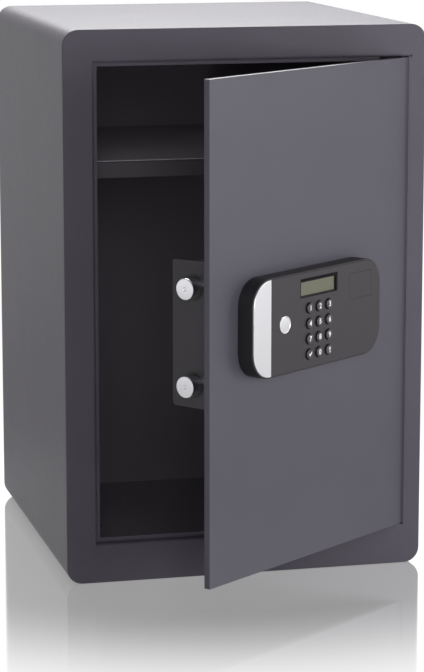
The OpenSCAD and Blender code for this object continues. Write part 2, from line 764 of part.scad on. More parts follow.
// Tray of four cells, open towards the battery lid
module battery_tray() color("#1a1a1c") on_door() difference() {
    block([tray_x0, cover_in - tray_d, tray_z0], [tray_x0 + tray_l, cover_in, tray_z0 + tray_h]);
    block([tray_x0 + tray_wall, cover_in - tray_d + tray_wall, tray_z0 + tray_wall],
          [tray_x0 + tray_l - tray_wall, cover_in + eps, tray_z0 + tray_h - tray_wall]);
}

// Four cells, every other one turned round
module battery_cells() color("#b98a3a") on_door() for (k = [0:3]) {
    z = tray_z0 + tray_wall + 0.3 + (k + 0.5) * cell_pitch;
    y = cover_in - tray_d + tray_wall + cell_dia / 2 + 0.1;
    x = tray_x0 + tray_wall + (tray_l - 2 * tray_wall - cell_l) / 2;
    nub = k % 2 == 0 ? x + cell_l : x - 1.2;
    bar_x(x, x + cell_l, y, z, cell_dia / 2);
    bar_x(nub, nub + 1.2, y, z, 2.7);
}

// Control board with its relay, chip, connectors and reset switch
module main_board() color("#1f5a36") on_door() {
    block([board_x0, board_y, board_z0], [board_x1, board_y + board_t, board_z0 + board_h]);
    top = board_y + board_t;
    block([board_x0 + 8, top, chip_z], [board_x0 + 8 + chip_w, top + 3, chip_z + chip_w]);
    block([board_x0 + 6, top, board_z0 + 6], [board_x0 + 6 + plug_w, top + 10, board_z0 + 6 + plug_h]);
    block([board_x1 - 14, top, relay_z], [board_x1 - 4, top + 8, relay_z + relay_h]);
    block([reset_x - 3, top, reset_z - 3], [reset_x + 3, top + 8, reset_z + 3]);
    bar_y(top, top + 12, board_x1 - 9, buffer_z, 4);
}

module reset_button() color("#b3262a") on_door() {
    bar_y(cover_in - 6, cover_y1 + 1, reset_x, reset_z, reset_r);
    bar_y(cover_in - 1.6, cover_in - 0.1, reset_x, reset_z, reset_r + 1.2);
    bar_y(board_y + board_t + 8 + reset_travel + 0.1, cover_in - 6, reset_x, reset_z, 1.5);
}

module keypad_ribbon() color("#9a9a9e") on_door()
    block([ribbon_x, pcb_y + pcb_t, ribbon_z - 0.4], [ribbon_x + ribbon_w, board_y, ribbon_z + 0.4]);

module pad_outline(inset) {
    translate(pad_c) round_rect(pad_w - 2 * inset, pad_h - 2 * inset, pad_r - inset);
}

// Moulded housing on the door: rim, recess for the inlays, well for the keypad board
module keypad_housing() color("#1b1a1c") on_door() difference() {
    plate_y(pad_rim_y, front_y) pad_outline(0);
    plate_y(pad_rim_y - eps, inlay_back) pad_outline(rim);
    block([cavity_x0, inlay_back - eps, pad_c[1] - cavity_h / 2],
          [cavity_x1, cavity_back, pad_c[1] + cavity_h / 2]);
    block([ribbon_x - 2, cavity_back - eps, ribbon_z - 3],
          [ribbon_x + ribbon_w + 2, front_y + eps, ribbon_z + 3]);
    bar_y(inlay_back - eps, front_y + eps, hatch_c[0], hatch_c[1], lock_r + 0.1);
    for (p = pad_screws) bar_y(front_y - 9, front_y + eps, p[0], p[1], 2 + press_fit);
}

// Dark face inlay with the window, key holes and the seat of the override cover
module face_plate() color("#4f4c50") on_door() difference() {
    plate_y(pad_face, inlay_back) intersection() {
        pad_outline(rim + seam);
        translate([cap_edge + seam, 0]) square([pad_w, body_h]);
    }
    plate_y(pad_face - eps, inlay_back + eps) translate(lcd_c) square([lcd_w, lcd_h], center = true);
    for (k = [0:11]) bar_y(pad_face - eps, inlay_back + eps, key_x(k), key_z(k), key_r + key_slot);
    plate_y(pad_face - eps, inlay_back + eps)
        translate(hatch_c) round_rect(hatch_w + 2 * seam, hatch_h + 2 * seam, 2);
}

// Bright end of the keypad, also its pull edge
module end_cap() color("#dedde2") on_door() plate_y(pad_face, inlay_back) intersection() {
    pad_outline(rim + seam);
    translate([cap_edge - seam - pad_w, 0]) square([pad_w, body_h]);
}

module badge_disc() color("#cfd0d4") on_door()
    bar_y(pad_face - badge_t, pad_face, badge_c[0], badge_c[1], badge_dia / 2);

// Display glass on its carrier, seated behind the window
module lcd_module() color("#969b7d") on_door()
    block([lcd_c[0] - lcd_w / 2 - 2, inlay_back, lcd_c[1] - lcd_h / 2 - 1.5],
          [lcd_c[0] + lcd_w / 2 + 2, inlay_back + lcd_t, lcd_c[1] + lcd_h / 2 + 1.5]);

function key_x(k) = key_c[0] + (k % 3 - 1) * key_pitch_x;
function key_z(k) = key_c[1] + (1.5 - floor(k / 3)) * key_pitch_z;

// A key cap with a chamfered top and a flange behind the face inlay
module key_cap(k) color("#5a575b") on_door() {
    translate([key_x(k), pad_face - key_rise + key_edge, key_z(k)]) rotate([90, 0, 0])
        cylinder(h = key_edge, r1 = key_r, r2 = key_r - key_edge);
    bar_y(pad_face - key_rise + key_edge, key_back, key_x(k), key_z(k), key_r);
    bar_y(inlay_back + 0.1, inlay_back + 0.1 + key_flange, key_x(k), key_z(k), key_r + 1.2);
}

mat_w = 3 * key_pitch_x;
mat_h = 4 * key_pitch_z;

// Rubber mat with a dome under each key
module key_mat() color("#6b6b6e") on_door() {
    plate_y(mat_y + dome_h, pcb_y) translate([key_c[0], key_c[1]]) square([mat_w, mat_h], center = true);
    for (k = [0:11]) translate([key_x(k), mat_y + dome_h, key_z(k)]) rotate([90, 0, 0])
        cylinder(h = dome_h, r1 = 4.5, r2 = 3.2);
}

// Keypad board on the floor of the housing's well
module keypad_board() color("#1f5a36") on_door() {
    block([cavity_x0 + 1, pcb_y, pad_c[1] - cavity_h / 2 + 1],
          [cavity_x1 - 1, pcb_y + pcb_t, pad_c[1] + cavity_h / 2 - 1]);
    for (x = [cavity_x0 + 5, cavity_x1 - 5], z = [-1, 1])
        bar_y(pcb_y + pcb_t, cavity_back, x, pad_c[1] + z * (cavity_h / 2 - 5), 2.5);
    block([lcd_c[0] - lcd_w / 2, inlay_back + lcd_t, lcd_c[1] - 4],
          [lcd_c[0] + lcd_w / 2, pcb_y, lcd_c[1] + 4]);
}

module housing_screws() color("#a9a9ad") on_door()
    for (p = pad_screws) screw_y(p[0], door_in, p[1], 1, 4, 2.4, 2, door_t + 8);

// Barrel of the emergency lock, through housing and door
module override_lock() color("#a6a6aa") on_door() difference() {
    bar_y(lock_face, lock_back, hatch_c[0], hatch_c[1], lock_r);
    bar_y(lock_face - eps, lock_back + eps, hatch_c[0], hatch_c[1], plug_r + run_fit);
}

// Turning plug with its keyway and the cam behind the door
module override_plug() color("#c2c2c6") on_door() difference() {
    union() {
        bar_y(lock_face + 0.3, lock_back + 0.3, hatch_c[0], hatch_c[1], plug_r);
        block([hatch_c[0] - 16, lock_back + 0.3, hatch_c[1] - 4],
              [hatch_c[0] + 5, lock_back + 3.3, hatch_c[1] + 4]);
    }
    block([hatch_c[0] - 0.7, lock_face - eps, hatch_c[1] - 3.5],
          [hatch_c[0] + 0.7, lock_face + 12, hatch_c[1] + 3.5]);
}

module override_cover() color("#474448") on_door()
    plate_y(pad_face, pad_face + hatch_t) translate(hatch_c) round_rect(hatch_w, hatch_h, 2);

outer_wrap();
front_frame();
rear_panel();
strike_plate();
upper_hinge_pin();
lower_hinge_pin();
shelf_bracket(-1);  // left_shelf_bracket
shelf_bracket(1);  // right_shelf_bracket
floor_mat();
shelf();
door_plate();
upper_hinge_lug();
lower_hinge_lug();
hinge_washer();
guide_bracket();
guide_bushes();
bracket_screws();
upper_bolt();
lower_bolt();
bolt_carrier();
rack();
carrier_screws();
pinion();
output_shaft();
gearbox();
motor_can();
motor_bracket();
motor_screws();
lock_cover();
standoffs();
cover_screws();
battery_lid();
battery_tray();
battery_cells();
main_board();
reset_button();
keypad_ribbon();
keypad_housing();
face_plate();
end_cap();
badge_disc();
lcd_module();
keypad_board();
key_mat();
housing_screws();
override_lock();
override_plug();
override_cover();
for (k = [0:11]) key_cap(k);
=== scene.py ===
import json
import math

import bmesh
import bpy
from mathutils import Matrix, Vector

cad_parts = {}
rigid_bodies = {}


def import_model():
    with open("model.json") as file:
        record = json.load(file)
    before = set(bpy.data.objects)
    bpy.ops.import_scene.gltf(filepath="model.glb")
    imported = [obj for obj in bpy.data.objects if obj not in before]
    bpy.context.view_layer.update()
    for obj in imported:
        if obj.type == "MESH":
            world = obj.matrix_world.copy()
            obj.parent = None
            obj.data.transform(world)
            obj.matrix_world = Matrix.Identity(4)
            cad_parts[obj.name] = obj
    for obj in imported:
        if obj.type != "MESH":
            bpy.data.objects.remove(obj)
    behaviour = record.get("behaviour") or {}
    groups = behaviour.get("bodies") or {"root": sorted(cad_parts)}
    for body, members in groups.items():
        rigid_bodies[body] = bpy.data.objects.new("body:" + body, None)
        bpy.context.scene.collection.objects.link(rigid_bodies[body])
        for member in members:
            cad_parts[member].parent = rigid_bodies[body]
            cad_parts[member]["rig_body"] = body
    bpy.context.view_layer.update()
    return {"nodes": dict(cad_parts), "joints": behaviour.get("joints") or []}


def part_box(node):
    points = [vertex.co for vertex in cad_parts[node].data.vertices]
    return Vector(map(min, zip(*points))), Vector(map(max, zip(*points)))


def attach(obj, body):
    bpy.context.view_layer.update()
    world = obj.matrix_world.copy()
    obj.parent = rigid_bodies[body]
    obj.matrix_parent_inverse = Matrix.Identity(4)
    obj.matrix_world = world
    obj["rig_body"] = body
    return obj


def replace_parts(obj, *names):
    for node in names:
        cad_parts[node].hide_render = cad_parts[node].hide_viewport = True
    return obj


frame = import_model()
nodes = frame["nodes"]


# Outer wrap
# One mild-steel sheet, 3 mm thick, folded round base, sides and top and welded along the base.
# The whole body is powder-coated in one violet grey; inside, where the gun reaches badly, the coat is
# thinner and flatter. The inside copy of the coat is also paler than the outside: painted light that
# lifts the shaded interior.
MM = 0.001
SHEET = 3 * MM
SKIN = 0.2 * MM  # a place this near to a face counts as on it
ONE_POINT = 2e-6  # corners nearer to each other than this, in metres, are one
FLAT = math.radians(0.3)  # faces that turn by less are one flat face
CORNER = math.radians(28)  # edges that turn by more are corners, the others parts of a curve
CREASE = math.radians(36)  # edges that turn by more are shaded as sharp
FACTOR, DEEP, PALE, MIXED = 0, 6, 7, 2  # a colour mix's sockets, by number as several share a name


def linear(hex_colour):
    """The shader's linear colour for an sRGB hex value."""
    levels = [int(hex_colour[i:i + 2], 16) / 255 for i in (1, 3, 5)]
    return (*[c / 12.92 if c <= 0.04045 else ((c + 0.055) / 1.055) ** 2.4 for c in levels], 1.0)


def per_metre(size_mm):
    """A pattern's scale for spots of this size."""
    return 1 / (size_mm * MM)


def add_node(material, kind, settings=None, sockets=None):
    """Adds a node with its settings; a socket is given a value, or another node's output to link."""
    node = material.node_tree.nodes.new(kind)
    for name, value in (settings or {}).items():
        setattr(node, name, value)
    for name, value in (sockets or {}).items():
        if isinstance(value, bpy.types.NodeSocket):
            material.node_tree.links.new(value, node.inputs[name])
        else:
            node.inputs[name].default_value = value
    return node


def open_finish(name, turn=0.0):
    """An empty material and the Object coordinates, turned about Z, that its pattern is drawn on."""
    finish = bpy.data.materials.new(name)
    finish.use_nodes = True
    finish.node_tree.nodes.clear()
    place = add_node(finish, "ShaderNodeTexCoord").outputs["Object"]
    if turn:
        turned_by = {"Vector": place, "Rotation": (0, 0, turn)}
        place = add_node(finish, "ShaderNodeMapping", {}, turned_by).outputs[0]
    return finish, place


def close_finish(finish, sockets):
    """Ends a material with its shader."""
    shader = add_node(finish, "ShaderNodeBsdfPrincipled", {}, sockets)
    add_node(finish, "ShaderNodeOutputMaterial", {}, {"Surface": shader.outputs[0]})
    return finish


def powder_coat(name, deep, pale, rough, peel_mm, depth_mm, sheen_level=0.5):
    """Baked polyester powder: it flows into a fine orange peel that turns every reflection into a sheen."""
    coat, place = open_finish(name)
    cloud = add_node(coat, "ShaderNodeTexNoise", {},
                     {"Vector": place, "Scale": per_metre(70), "Detail": 3.0})
    peel = add_node(coat, "ShaderNodeTexNoise", {},
                    {"Vector": place, "Scale": per_metre(peel_mm), "Detail": 2.0})
    tone = add_node(coat, "ShaderNodeMix", {"data_type": "RGBA"},
                    {FACTOR: cloud.outputs[0], DEEP: linear(deep), PALE: linear(pale)})
    # The noise lies mostly between 0.3 and 0.7, and the gloss follows it a little either way.
    sheen = add_node(coat, "ShaderNodeMapRange", {},
                     {"Value": peel.outputs[0], "From Min": 0.3, "From Max": 0.7,
                      "To Min": rough - 0.04, "To Max": rough + 0.04})
    relief = add_node(coat, "ShaderNodeBump", {},
                      {"Height": peel.outputs[0], "Strength": 0.6, "Distance": depth_mm * MM})
    return close_finish(coat, {"Base Color": tone.outputs[MIXED], "Roughness": sheen.outputs[0],
                               "Specular IOR Level": sheen_level, "Normal": relief.outputs[0]})


def clean_shell(node):
    """A CAD part's mesh with its triangles merged and its flat faces made whole."""
    shell = bmesh.new()
    shell.from_mesh(nodes[node].data)
    bmesh.ops.remove_doubles(shell, verts=shell.verts, dist=ONE_POINT)
    bmesh.ops.dissolve_limit(shell, angle_limit=FLAT, verts=shell.verts, edges=shell.edges)
    return shell


def ease(shell, width_mm, steps=2, pick=None):
    """Rounds the sharp corners whose middle the test picks, as deburring, folding or moulding leaves them."""
    corners = [
        e for e in shell.edges
        if e.is_manifold and e.calc_face_angle(0) > CORNER
        and (pick is None or pick((e.verts[0].co + e.verts[1].co) / 2))
    ]
    bmesh.ops.bevel(shell, geom=corners, offset=width_mm * MM, offset_type="OFFSET", segments=steps,
                    profile=0.5, affect="EDGES", clamp_overlap=True, material=-1)
    return shell


def add_piece(name, shell, finish, body):
    """Makes a shell a piece of the safe: smooth between its corners, with a finish, riding a body."""
    mesh = bpy.data.meshes.new(name)
    shell.to_mesh(mesh)
    shell.free()
    mesh.shade_smooth()
    mesh.set_sharp_from_angle(angle=CREASE)
    mesh.materials.append(finish)
    piece = bpy.data.objects.new(name, mesh)
    bpy.context.scene.collection.objects.link(piece)
    piece.modifiers.new("even_normals", "WEIGHTED_NORMAL").keep_sharp = True
    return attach(piece, body)


def stand_in(node, shell, finish):
    """Makes a shell the finished piece in the place of a CAD part, on that part's body."""
    piece = add_piece(node + "_finished", shell, finish, nodes[node]["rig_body"])
    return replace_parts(piece, node)


def dress(node, finish, slot, *rounds):
    """A CAD part's own shape, finished, in its place; each round is (width in mm, steps, test)."""
    shell = clean_shell(node)
    for width_mm, steps, pick in rounds:
        ease(shell, width_mm, steps, pick)
    return stand_in(node, shell, finish)


def refinish(piece, finish, test):
    """Gives the faces whose middle and normal pass a test another finish."""
    piece.data.materials.append(finish)
    index = len(piece.data.materials) - 1
    for face in piece.data.polygons:
        if test(face.center, face.normal):
            face.material_index = index
    return piece


body_paint = powder_coat("satin_powder_coat", "#4b4751", "#55515b", 0.46, 1.6, 0.03, 0.18)
# Painted light: the inside copy of the body's coat is paler, which lightens the shaded interior.
lightened_inside_paint = powder_coat("matt_inside_coat_painted_light", "#544c55", "#5f5760", 0.6, 1.0, 0.03)

wrap_lo, wrap_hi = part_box("outer_wrap")
wrap_axis = Vector((0, 0, (wrap_lo.z + wrap_hi.z) / 2))


def inside_wrap(p, n):
    return n.dot(Vector((p.x, 0, p.z)) - wrap_axis) < 0 and abs(n.y) < 0.5


refinish(dress("outer_wrap", body_paint, "body_coat"), lightened_inside_paint, inside_wrap)


# Front panel
# A laser-cut 3 mm panel whose opening is pressed inward into a flange, so its edge is a soft round, and a
# welded stop strip that the door closes against. Its outer edge is ground flush with the wrap.
OUTER_BAND = 12 * MM  # the panel's outer edge with its round corners lies within this of its box
MOUTH_SIDE, MOUTH_END = 13.5 * MM, 16 * MM  # the opening lies further in than these
panel_lo, panel_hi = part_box("front_frame")


def span(points):
    """Lowest and highest corner of the box round some points."""
    return Vector(map(min, *points)), Vector(map(max, *points))


mouth_lo, mouth_hi = span([
    v.co for v in nodes["front_frame"].data.vertices
    if v.co.y < panel_lo.y + SKIN and abs(v.co.x) < panel_hi.x - MOUTH_SIDE
    and panel_lo.z + MOUTH_END < v.co.z < panel_hi.z - MOUTH_END])


def on_outer_edge(p):
    return p.y < panel_lo.y + SKIN and (
        abs(p.x) > panel_hi.x - OUTER_BAND
        or p.z < panel_lo.z + OUTER_BAND or p.z > panel_hi.z - OUTER_BAND)


def on_opening(p):
    return p.y < panel_lo.y + SKIN and not on_outer_edge(p) and p.x < mouth_hi.x - SKIN


def behind_panel(p, n):
    in_mouth = (mouth_lo.x - SKIN / 2 < p.x < mouth_hi.x + SKIN / 2
                and mouth_lo.z - SKIN / 2 < p.z < mouth_hi.z + SKIN / 2)
    return p.y > panel_lo.y + SHEET - SKIN / 2 and (not in_mouth or n.y > 0.5)


panel = dress("front_frame", body_paint, "body_coat",
              (2.6, 5, on_opening), (1.0, 3, on_outer_edge), (0.3, 1, None))
refinish(panel, lightened_inside_paint, behind_panel)


# Rear panel
# A flat 3 mm panel with two holes for the wall anchors, welded into the wrap and coated with it.
# Only its outer edge is rounded, where it is ground flush.
rear_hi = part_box("rear_panel")[1]
rear = dress("rear_panel", body_paint, "body_coat", (0.8, 3, lambda p: p.y > rear_hi.y - SKIN))
refinish(rear, lightened_inside_paint, lambda p, n: n.y < -0.5)


# Strike plate
# A folded angle welded behind the left flange, with two holes that take the bolts.
# It is sprayed together with the inside, so it is as matt.
dress("strike_plate", lightened_inside_paint, "inner_coat", (0.4, 2, None))


# Hinge pins
# Steel pins pressed into blocks on the front panel, blackened hot in a salt bath against rust.
# The bath leaves a dull near-black that is cloudy every few millimetres and still a little metallic.
def mottled(name, spot_mm, detail, deep, pale, sockets, relief=None):
    """A finish with one cloudy pattern, from deep to pale; relief is (strength, depth in mm)."""
    finish, place = open_finish(name)
    spots = add_node(finish, "ShaderNodeTexNoise", {},
                     {"Vector": place, "Scale": per_metre(spot_mm), "Detail": detail})
    tone = add_node(finish, "ShaderNodeMix", {"data_type": "RGBA"},
                    {FACTOR: spots.outputs[0], DEEP: linear(deep), PALE: linear(pale)})
    sockets = {"Base Color": tone.outputs[MIXED], **sockets}
    if relief:
        strength, depth_mm = relief
        sockets["Normal"] = add_node(finish, "ShaderNodeBump", {}, {
            "Height": spots.outputs[0], "Strength": strength, "Distance": depth_mm * MM}).outputs[0]
    return close_finish(finish, sockets)


black_oxide = mottled("black_oxide", 5, 3.0, "#1f1f22", "#2d2d31", {"Metallic": 0.7, "Roughness": 0.42})
for pin in ("upper_hinge_pin", "lower_hinge_pin"):
    dress(pin, black_oxide, "zinc_steel", (0.4, 2, None))


# Shelf and its brackets
# Folded 1.5 mm sheet; the shelf's edges are turned down and it lies loose on two angles. Its powder is a
# little finer and flatter than the body's. Its top faces get a pale copy of the coat, which is painted
# light, so the top shows as a bright line above the dark front edge.
shelf_paint = powder_coat("fine_powder_coat", "#322e34", "#3b373d", 0.5, 1.1, 0.025)
for side in ("left", "right"):
    dress(side + "_shelf_bracket", lightened_inside_paint, "inner_coat", (0.4, 2, None))
shelf_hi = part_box("shelf")[1]
shelf = dress("shelf", shelf_paint, "inner_coat", (1.2, 3, lambda p: p.z > shelf_hi.z - MM), (0.3, 1, None))
# Painted light: the shelf's top faces get a pale copy of its coat, brighter than the front edge.
shelf_top_painted_light = powder_coat("painted_light_shelf_top_coat", "#9d969f", "#a9a2ab", 0.42, 1.1, 0.025)
refinish(shelf, shelf_top_painted_light, lambda p, n: n.z > 0.3)


# Floor mat
# Needle felt, about 5 mm thick, cut with a knife: dark fibres that lie in all directions and catch
# no highlight. A fibre is 0.03 mm thick, so the tufts are drawn instead, 0.8 mm wide.
felt, place = open_finish("needle_felt")
tufts = add_node(felt, "ShaderNodeTexNoise", {},
                 {"Vector": place, "Scale": per_metre(0.8), "Detail": 4.0, "Roughness": 0.7})
patches = add_node(felt, "ShaderNodeTexVoronoi", {}, {"Vector": place, "Scale": per_metre(3.5)})
depth = add_node(felt, "ShaderNodeMath", {"operation": "ADD"},
                 {0: tufts.outputs[0], 1: patches.outputs["Distance"]})
tone = add_node(felt, "ShaderNodeMix", {"data_type": "RGBA"},
                {FACTOR: depth.outputs[0], DEEP: linear("#36313a"), PALE: linear("#554e58")})
relief = add_node(felt, "ShaderNodeBump", {},
                  {"Height": depth.outputs[0], "Strength": 0.8, "Distance": 0.4 * MM})
close_finish(felt, {"Base Color": tone.outputs[MIXED], "Roughness": 0.95, "Sheen Weight": 0.08,
                    "Specular IOR Level": 0.2, "Normal": relief.outputs[0]})
dress("floor_mat", felt, "felt", (1.0, 3, None))


# Door plate
# A 6 mm steel plate, laser-cut and linished so that its edges are broken by about a millimetre.
# It hangs open on the hinge pins; new door pieces are drawn with it closed and swung by door_place.
swing = next(j for j in frame["joints"] if j["name"] == "door_swing")
rest_turn = math.radians(-swing["range_deg"][0])
pin_place = Matrix.Translation(swing["pos_m"])
door_place = pin_place @ Matrix.Rotation(rest_turn, 4, "Z") @ pin_place.inverted()
unswing = door_place.inverted()


def closed_box(node):
    """Lowest and highest corner of a door part with the door closed."""
    return span([unswing @ v.co for v in nodes[node].data.vertices])


door_paint = powder_coat("satin_door_coat", "#43404b", "#4b4853", 0.42, 1.6, 0.03)
plate_lo, plate_hi = closed_box("door_plate")
dress("door_plate", door_paint, "door_coat",
      (0.9, 3, lambda p: (unswing @ p).x < plate_hi.x - SKIN), (0.2, 2, None))


# Hinge strip
# A drawn steel strip, welded along the hinge side of the opening and coated with the body. Its hollow
# back follows the corner of the door as it swings, so the gap beside the door stays closed.
RUNNING_GAP, THIN_EDGE = 0.15 * MM, 0.6 * MM
HOLLOW_STEPS = 10


def push_out(shell, faces, move):
    """Extrudes faces by a move and returns the new corners."""
    grown = bmesh.ops.extrude_face_region(shell, geom=faces)["geom"]
    corners = [v for v in grown if isinstance(v, bmesh.types.BMVert)]
    bmesh.ops.translate(shell, vec=move, verts=corners)
    return corners


pivot = Vector(swing["pos_m"])
sweep = math.hypot(plate_hi.x - pivot.x, plate_lo.y - pivot.y) + RUNNING_GAP
first = math.acos((pivot.y - panel_lo.y) / sweep)
last = math.asin((mouth_hi.x - THIN_EDGE - pivot.x) / sweep)
hollow = [first + (last - first) * k / HOLLOW_STEPS for k in range(HOLLOW_STEPS + 1)]
outline = [(pivot.x + sweep * math.sin(a), pivot.y - sweep * math.cos(a)) for a in hollow]
outline += [(mouth_hi.x, outline[-1][1]), (mouth_hi.x, panel_lo.y)]
strip = bmesh.new()
end_face = strip.faces.new([strip.verts.new((x, y, mouth_lo.z)) for x, y in outline])
push_out(strip, [end_face], (0, 0, mouth_hi.z - mouth_lo.z))
bmesh.ops.recalc_face_normals(strip, faces=strip.faces)
add_piece("hinge_strip", ease(strip, 0.12), body_paint, nodes["front_frame"]["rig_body"])


# Hinge lugs and thrust washer
# Steel lugs let into the back of the plate, one above and one below, welded and coated with the door,
# and a bronze washer, blackened by its oil, that carries the door's weight on the lower one.
oiled_bronze = mottled("oiled_bronze", 3, 3.0, "#2a2420", "#3d342c", {"Metallic": 0.6, "Roughness": 0.45})
for lug in ("upper_hinge_lug", "lower_hinge_lug"):
    dress(lug, door_paint, "zinc_steel", (0.4, 2, None))
dress("hinge_washer", oiled_bronze, "brass", (0.15, 2, None))


# Guide bracket with its bushes
# A 3 mm angle whose pierced leg shows past the door's edge; two black acetal bushes line its holes.
# Acetal is moulded and waxy, so it is dark with one broad highlight.
guide_paint = powder_coat("black_grey_coat", "#28242b", "#302c33", 0.44, 1.2, 0.03)
dress("guide_bracket", guide_paint, "cover_coat", (0.8, 3, None))
acetal = mottled("black_acetal", 6, 2.0, "#0e0e10", "#19191b", {"Roughness": 0.38}, (0.2, 0.05))
dress("guide_bushes", acetal, "black_plastic", (0.3, 2, None))


# Bracket screws
# Zinc-plated pan-head screws with a cross recess, six of them, into the back of the door plate.
# Zinc crystals give a mottled, slightly blue grey.
zinc, place = open_finish("zinc_plating")
crystals = add_node(zinc, "ShaderNodeTexVoronoi", {}, {"Vector": place, "Scale": per_metre(1.5)})
tone = add_node(zinc, "ShaderNodeMix", {"data_type": "RGBA"},
                {FACTOR: crystals.outputs["Distance"], DEEP: linear("#a2a4a9"), PALE: linear("#bdbfc3")})
polish = add_node(zinc, "ShaderNodeMapRange", {},
                  {"Value": crystals.outputs["Distance"], "To Min": 0.28, "To Max": 0.42})
close_finish(zinc, {"Base Color": tone.outputs[MIXED], "Metallic": 1.0, "Roughness": polish.outputs[0]})

SAME_SPOT = 1e-7  # corners of a drawn shape nearer than this, in metres, are one
TO_BACK = Matrix.Rotation(math.radians(-90), 4, "X")


def turned(profile, steps=40):
    """A lathe-turned shape: (radius, height) points in mm spun about Z, closed at both ends."""
    shape = bmesh.new()
    points = [shape.verts.new((r * MM, 0, h * MM)) for r, h in profile]
    line = [shape.edges.new(pair) for pair in zip(points, points[1:])]
    bmesh.ops.spin(shape, geom=points + line, cent=(0, 0, 0), axis=(0, 0, 1), angle=math.tau,
                   steps=steps, use_merge=True)
    bmesh.ops.remove_doubles(shape, verts=shape.verts, dist=SAME_SPOT)
    bmesh.ops.recalc_face_normals(shape, faces=shape.faces)
    return shape


def cross_head(head_r, head_h, shank_r, shank):
    """A pan-head screw along Z, its head's underside at zero, with a cross recess in the head."""
    screw = turned([(0, -shank), (shank_r - 0.4, -shank), (shank_r, -shank + 0.4), (shank_r, 0), (head_r, 0),
                    (head_r, head_h * 0.4), (head_r * 0.94, head_h * 0.72), (head_r * 0.8, head_h * 0.94),
                    (head_r * 0.62, head_h), (0, head_h)], 32)
    half, arm, depth, taper = head_r * 0.11 * MM, head_r * 0.52 * MM, head_h * 0.6 * MM, 0.55
    top_level = (head_h - 0.01) * MM
    for axis in (Vector((1, 0, 0)), Vector((0, 1, 0))):
        for cut in (-arm, -half, half, arm):
            top = [f for f in screw.faces if f.calc_center_median().z > top_level]
            around = {v for f in top for v in f.verts} | {e for f in top for e in f.edges}
            bmesh.ops.bisect_plane(screw, geom=top + list(around), plane_co=axis * cut, plane_no=axis,
                                   dist=SAME_SPOT)
    recess = []
    for face in screw.faces:
        c = face.calc_center_median()
        near, far = sorted((abs(c.x), abs(c.y)))
        if c.z > top_level and near < half and far < arm:
            recess.append(face)
    bottom = push_out(screw, recess, (0, 0, -depth))
    bmesh.ops.delete(screw, geom=[f for f in recess if f.is_valid], context="FACES_ONLY")
    bmesh.ops.scale(screw, vec=(taper, taper, 1), verts=bottom)
    return screw


def put(shell, shape, place):
    """Moves a shape into a shell, put in its place."""
    mesh = bpy.data.meshes.new("pattern")
    shape.to_mesh(mesh)
    shape.free()
    before = len(shell.verts)
    shell.from_mesh(mesh)
    shell.verts.ensure_lookup_table()
    bmesh.ops.transform(shell, matrix=place, verts=shell.verts[before:])
    bpy.data.meshes.remove(mesh)
    return shell


def middle(lo, hi, **moved):
    """The middle of a box, with the coordinates that are given put there instead."""
    spot = {axis: (getattr(lo, axis) + getattr(hi, axis)) / 2 for axis in "xyz"}
    spot.update(moved)
    return Vector(list(spot.values()))


def on_door(seat, turn):
    """The place of a shape whose origin has this seat on the closed door, after a turn."""
    return door_place @ Matrix.Translation(seat) @ turn


def solids_of(node):
    """Lowest and highest corner of each separate solid of a door part, with the door closed."""
    shell = clean_shell(node)
    left, boxes = set(shell.verts), []
    while left:
        reach, group = [left.pop()], []
        while reach:
            vert = reach.pop()
            group.append(unswing @ vert.co)
            found = {e.other_vert(vert) for e in vert.link_edges} & left
            left -= found
            reach += found
        boxes.append(span(group))
    shell.free()
    return sorted(boxes, key=lambda box: (round(box[0].z, 4), round(box[0].x, 4)))


def dress_screws(node, head_r, head_h, shank_r):
    """Cross-head screws, their heads to the back of the door, in the place of a node's plain ones."""
    shell = bmesh.new()
    outward = TO_BACK @ Vector((0, 0, 1))
    for lo, hi in solids_of(node):
        length = abs((hi - lo).dot(outward))
        seat = (lo + hi) / 2 + outward * (length / 2 - head_h * MM)
        put(shell, cross_head(head_r, head_h, shank_r, length / MM - head_h), on_door(seat, TO_BACK))
    return stand_in(node, shell, zinc)


dress_screws("bracket_screws", 3.8, 2.2, 2.0)


# Bolts
# Two turned steel bars, 20 mm across, hard chrome plated: nearly mirror-bright, with faint lathe rings.
# The rings are 0.1 mm apart on the real bolt and are drawn 0.7 mm apart so that they show.
WAVE = math.tau / 20  # how far apart the crests of a wave texture are at scale 1
NECK_R, NECK, HOLE_R, HOLE = 5, 4, 2.5, 14  # the bolt's turned-down rear end and its hole, in mm
TO_HINGE = Matrix.Rotation(math.radians(90), 4, "Y")

chrome, place = open_finish("hard_chrome", -rest_turn)
rings = add_node(chrome, "ShaderNodeTexWave", {"bands_direction": "X"},
                 {"Vector": place, "Scale": per_metre(0.7) * WAVE, "Distortion": 0.4, "Detail": 2.0})
haze = add_node(chrome, "ShaderNodeTexNoise", {}, {"Vector": place, "Scale": per_metre(12), "Detail": 3.0})
tone = add_node(chrome, "ShaderNodeMix", {"data_type": "RGBA"},
                {FACTOR: haze.outputs[0], DEEP: linear("#dfdee3"), PALE: linear("#ecebef")})
polish = add_node(chrome, "ShaderNodeMapRange", {}, {"Value": haze.outputs[0], "To Min": 0.1, "To Max": 0.2})
relief = add_node(chrome, "ShaderNodeBump", {},
                  {"Height": rings.outputs[0], "Strength": 0.25, "Distance": 0.005 * MM})
close_finish(chrome, {"Base Color": tone.outputs[MIXED], "Metallic": 1.0, "Roughness": polish.outputs[0],
                      "Normal": relief.outputs[0]})

for bolt in ("upper_bolt", "lower_bolt"):
    lo, hi = closed_box(bolt)
    radius, length = (hi.y - lo.y) / 2 / MM, (hi.x - lo.x) / MM
    bar = turned([(0, 0.6), (1.2, 0.6), (2.0, 0), (radius - 1.2, 0), (radius - 0.5, 0.2),
                  (radius - 0.12, 0.7), (radius, 1.3), (radius, length - NECK), (NECK_R, length - NECK),
                  (NECK_R, length), (HOLE_R, length), (HOLE_R, length - HOLE), (0, length - HOLE)], 64)
    seat = on_door(middle(lo, hi, x=lo.x), TO_HINGE)
    stand_in(bolt, put(bmesh.new(), bar, seat), chrome)


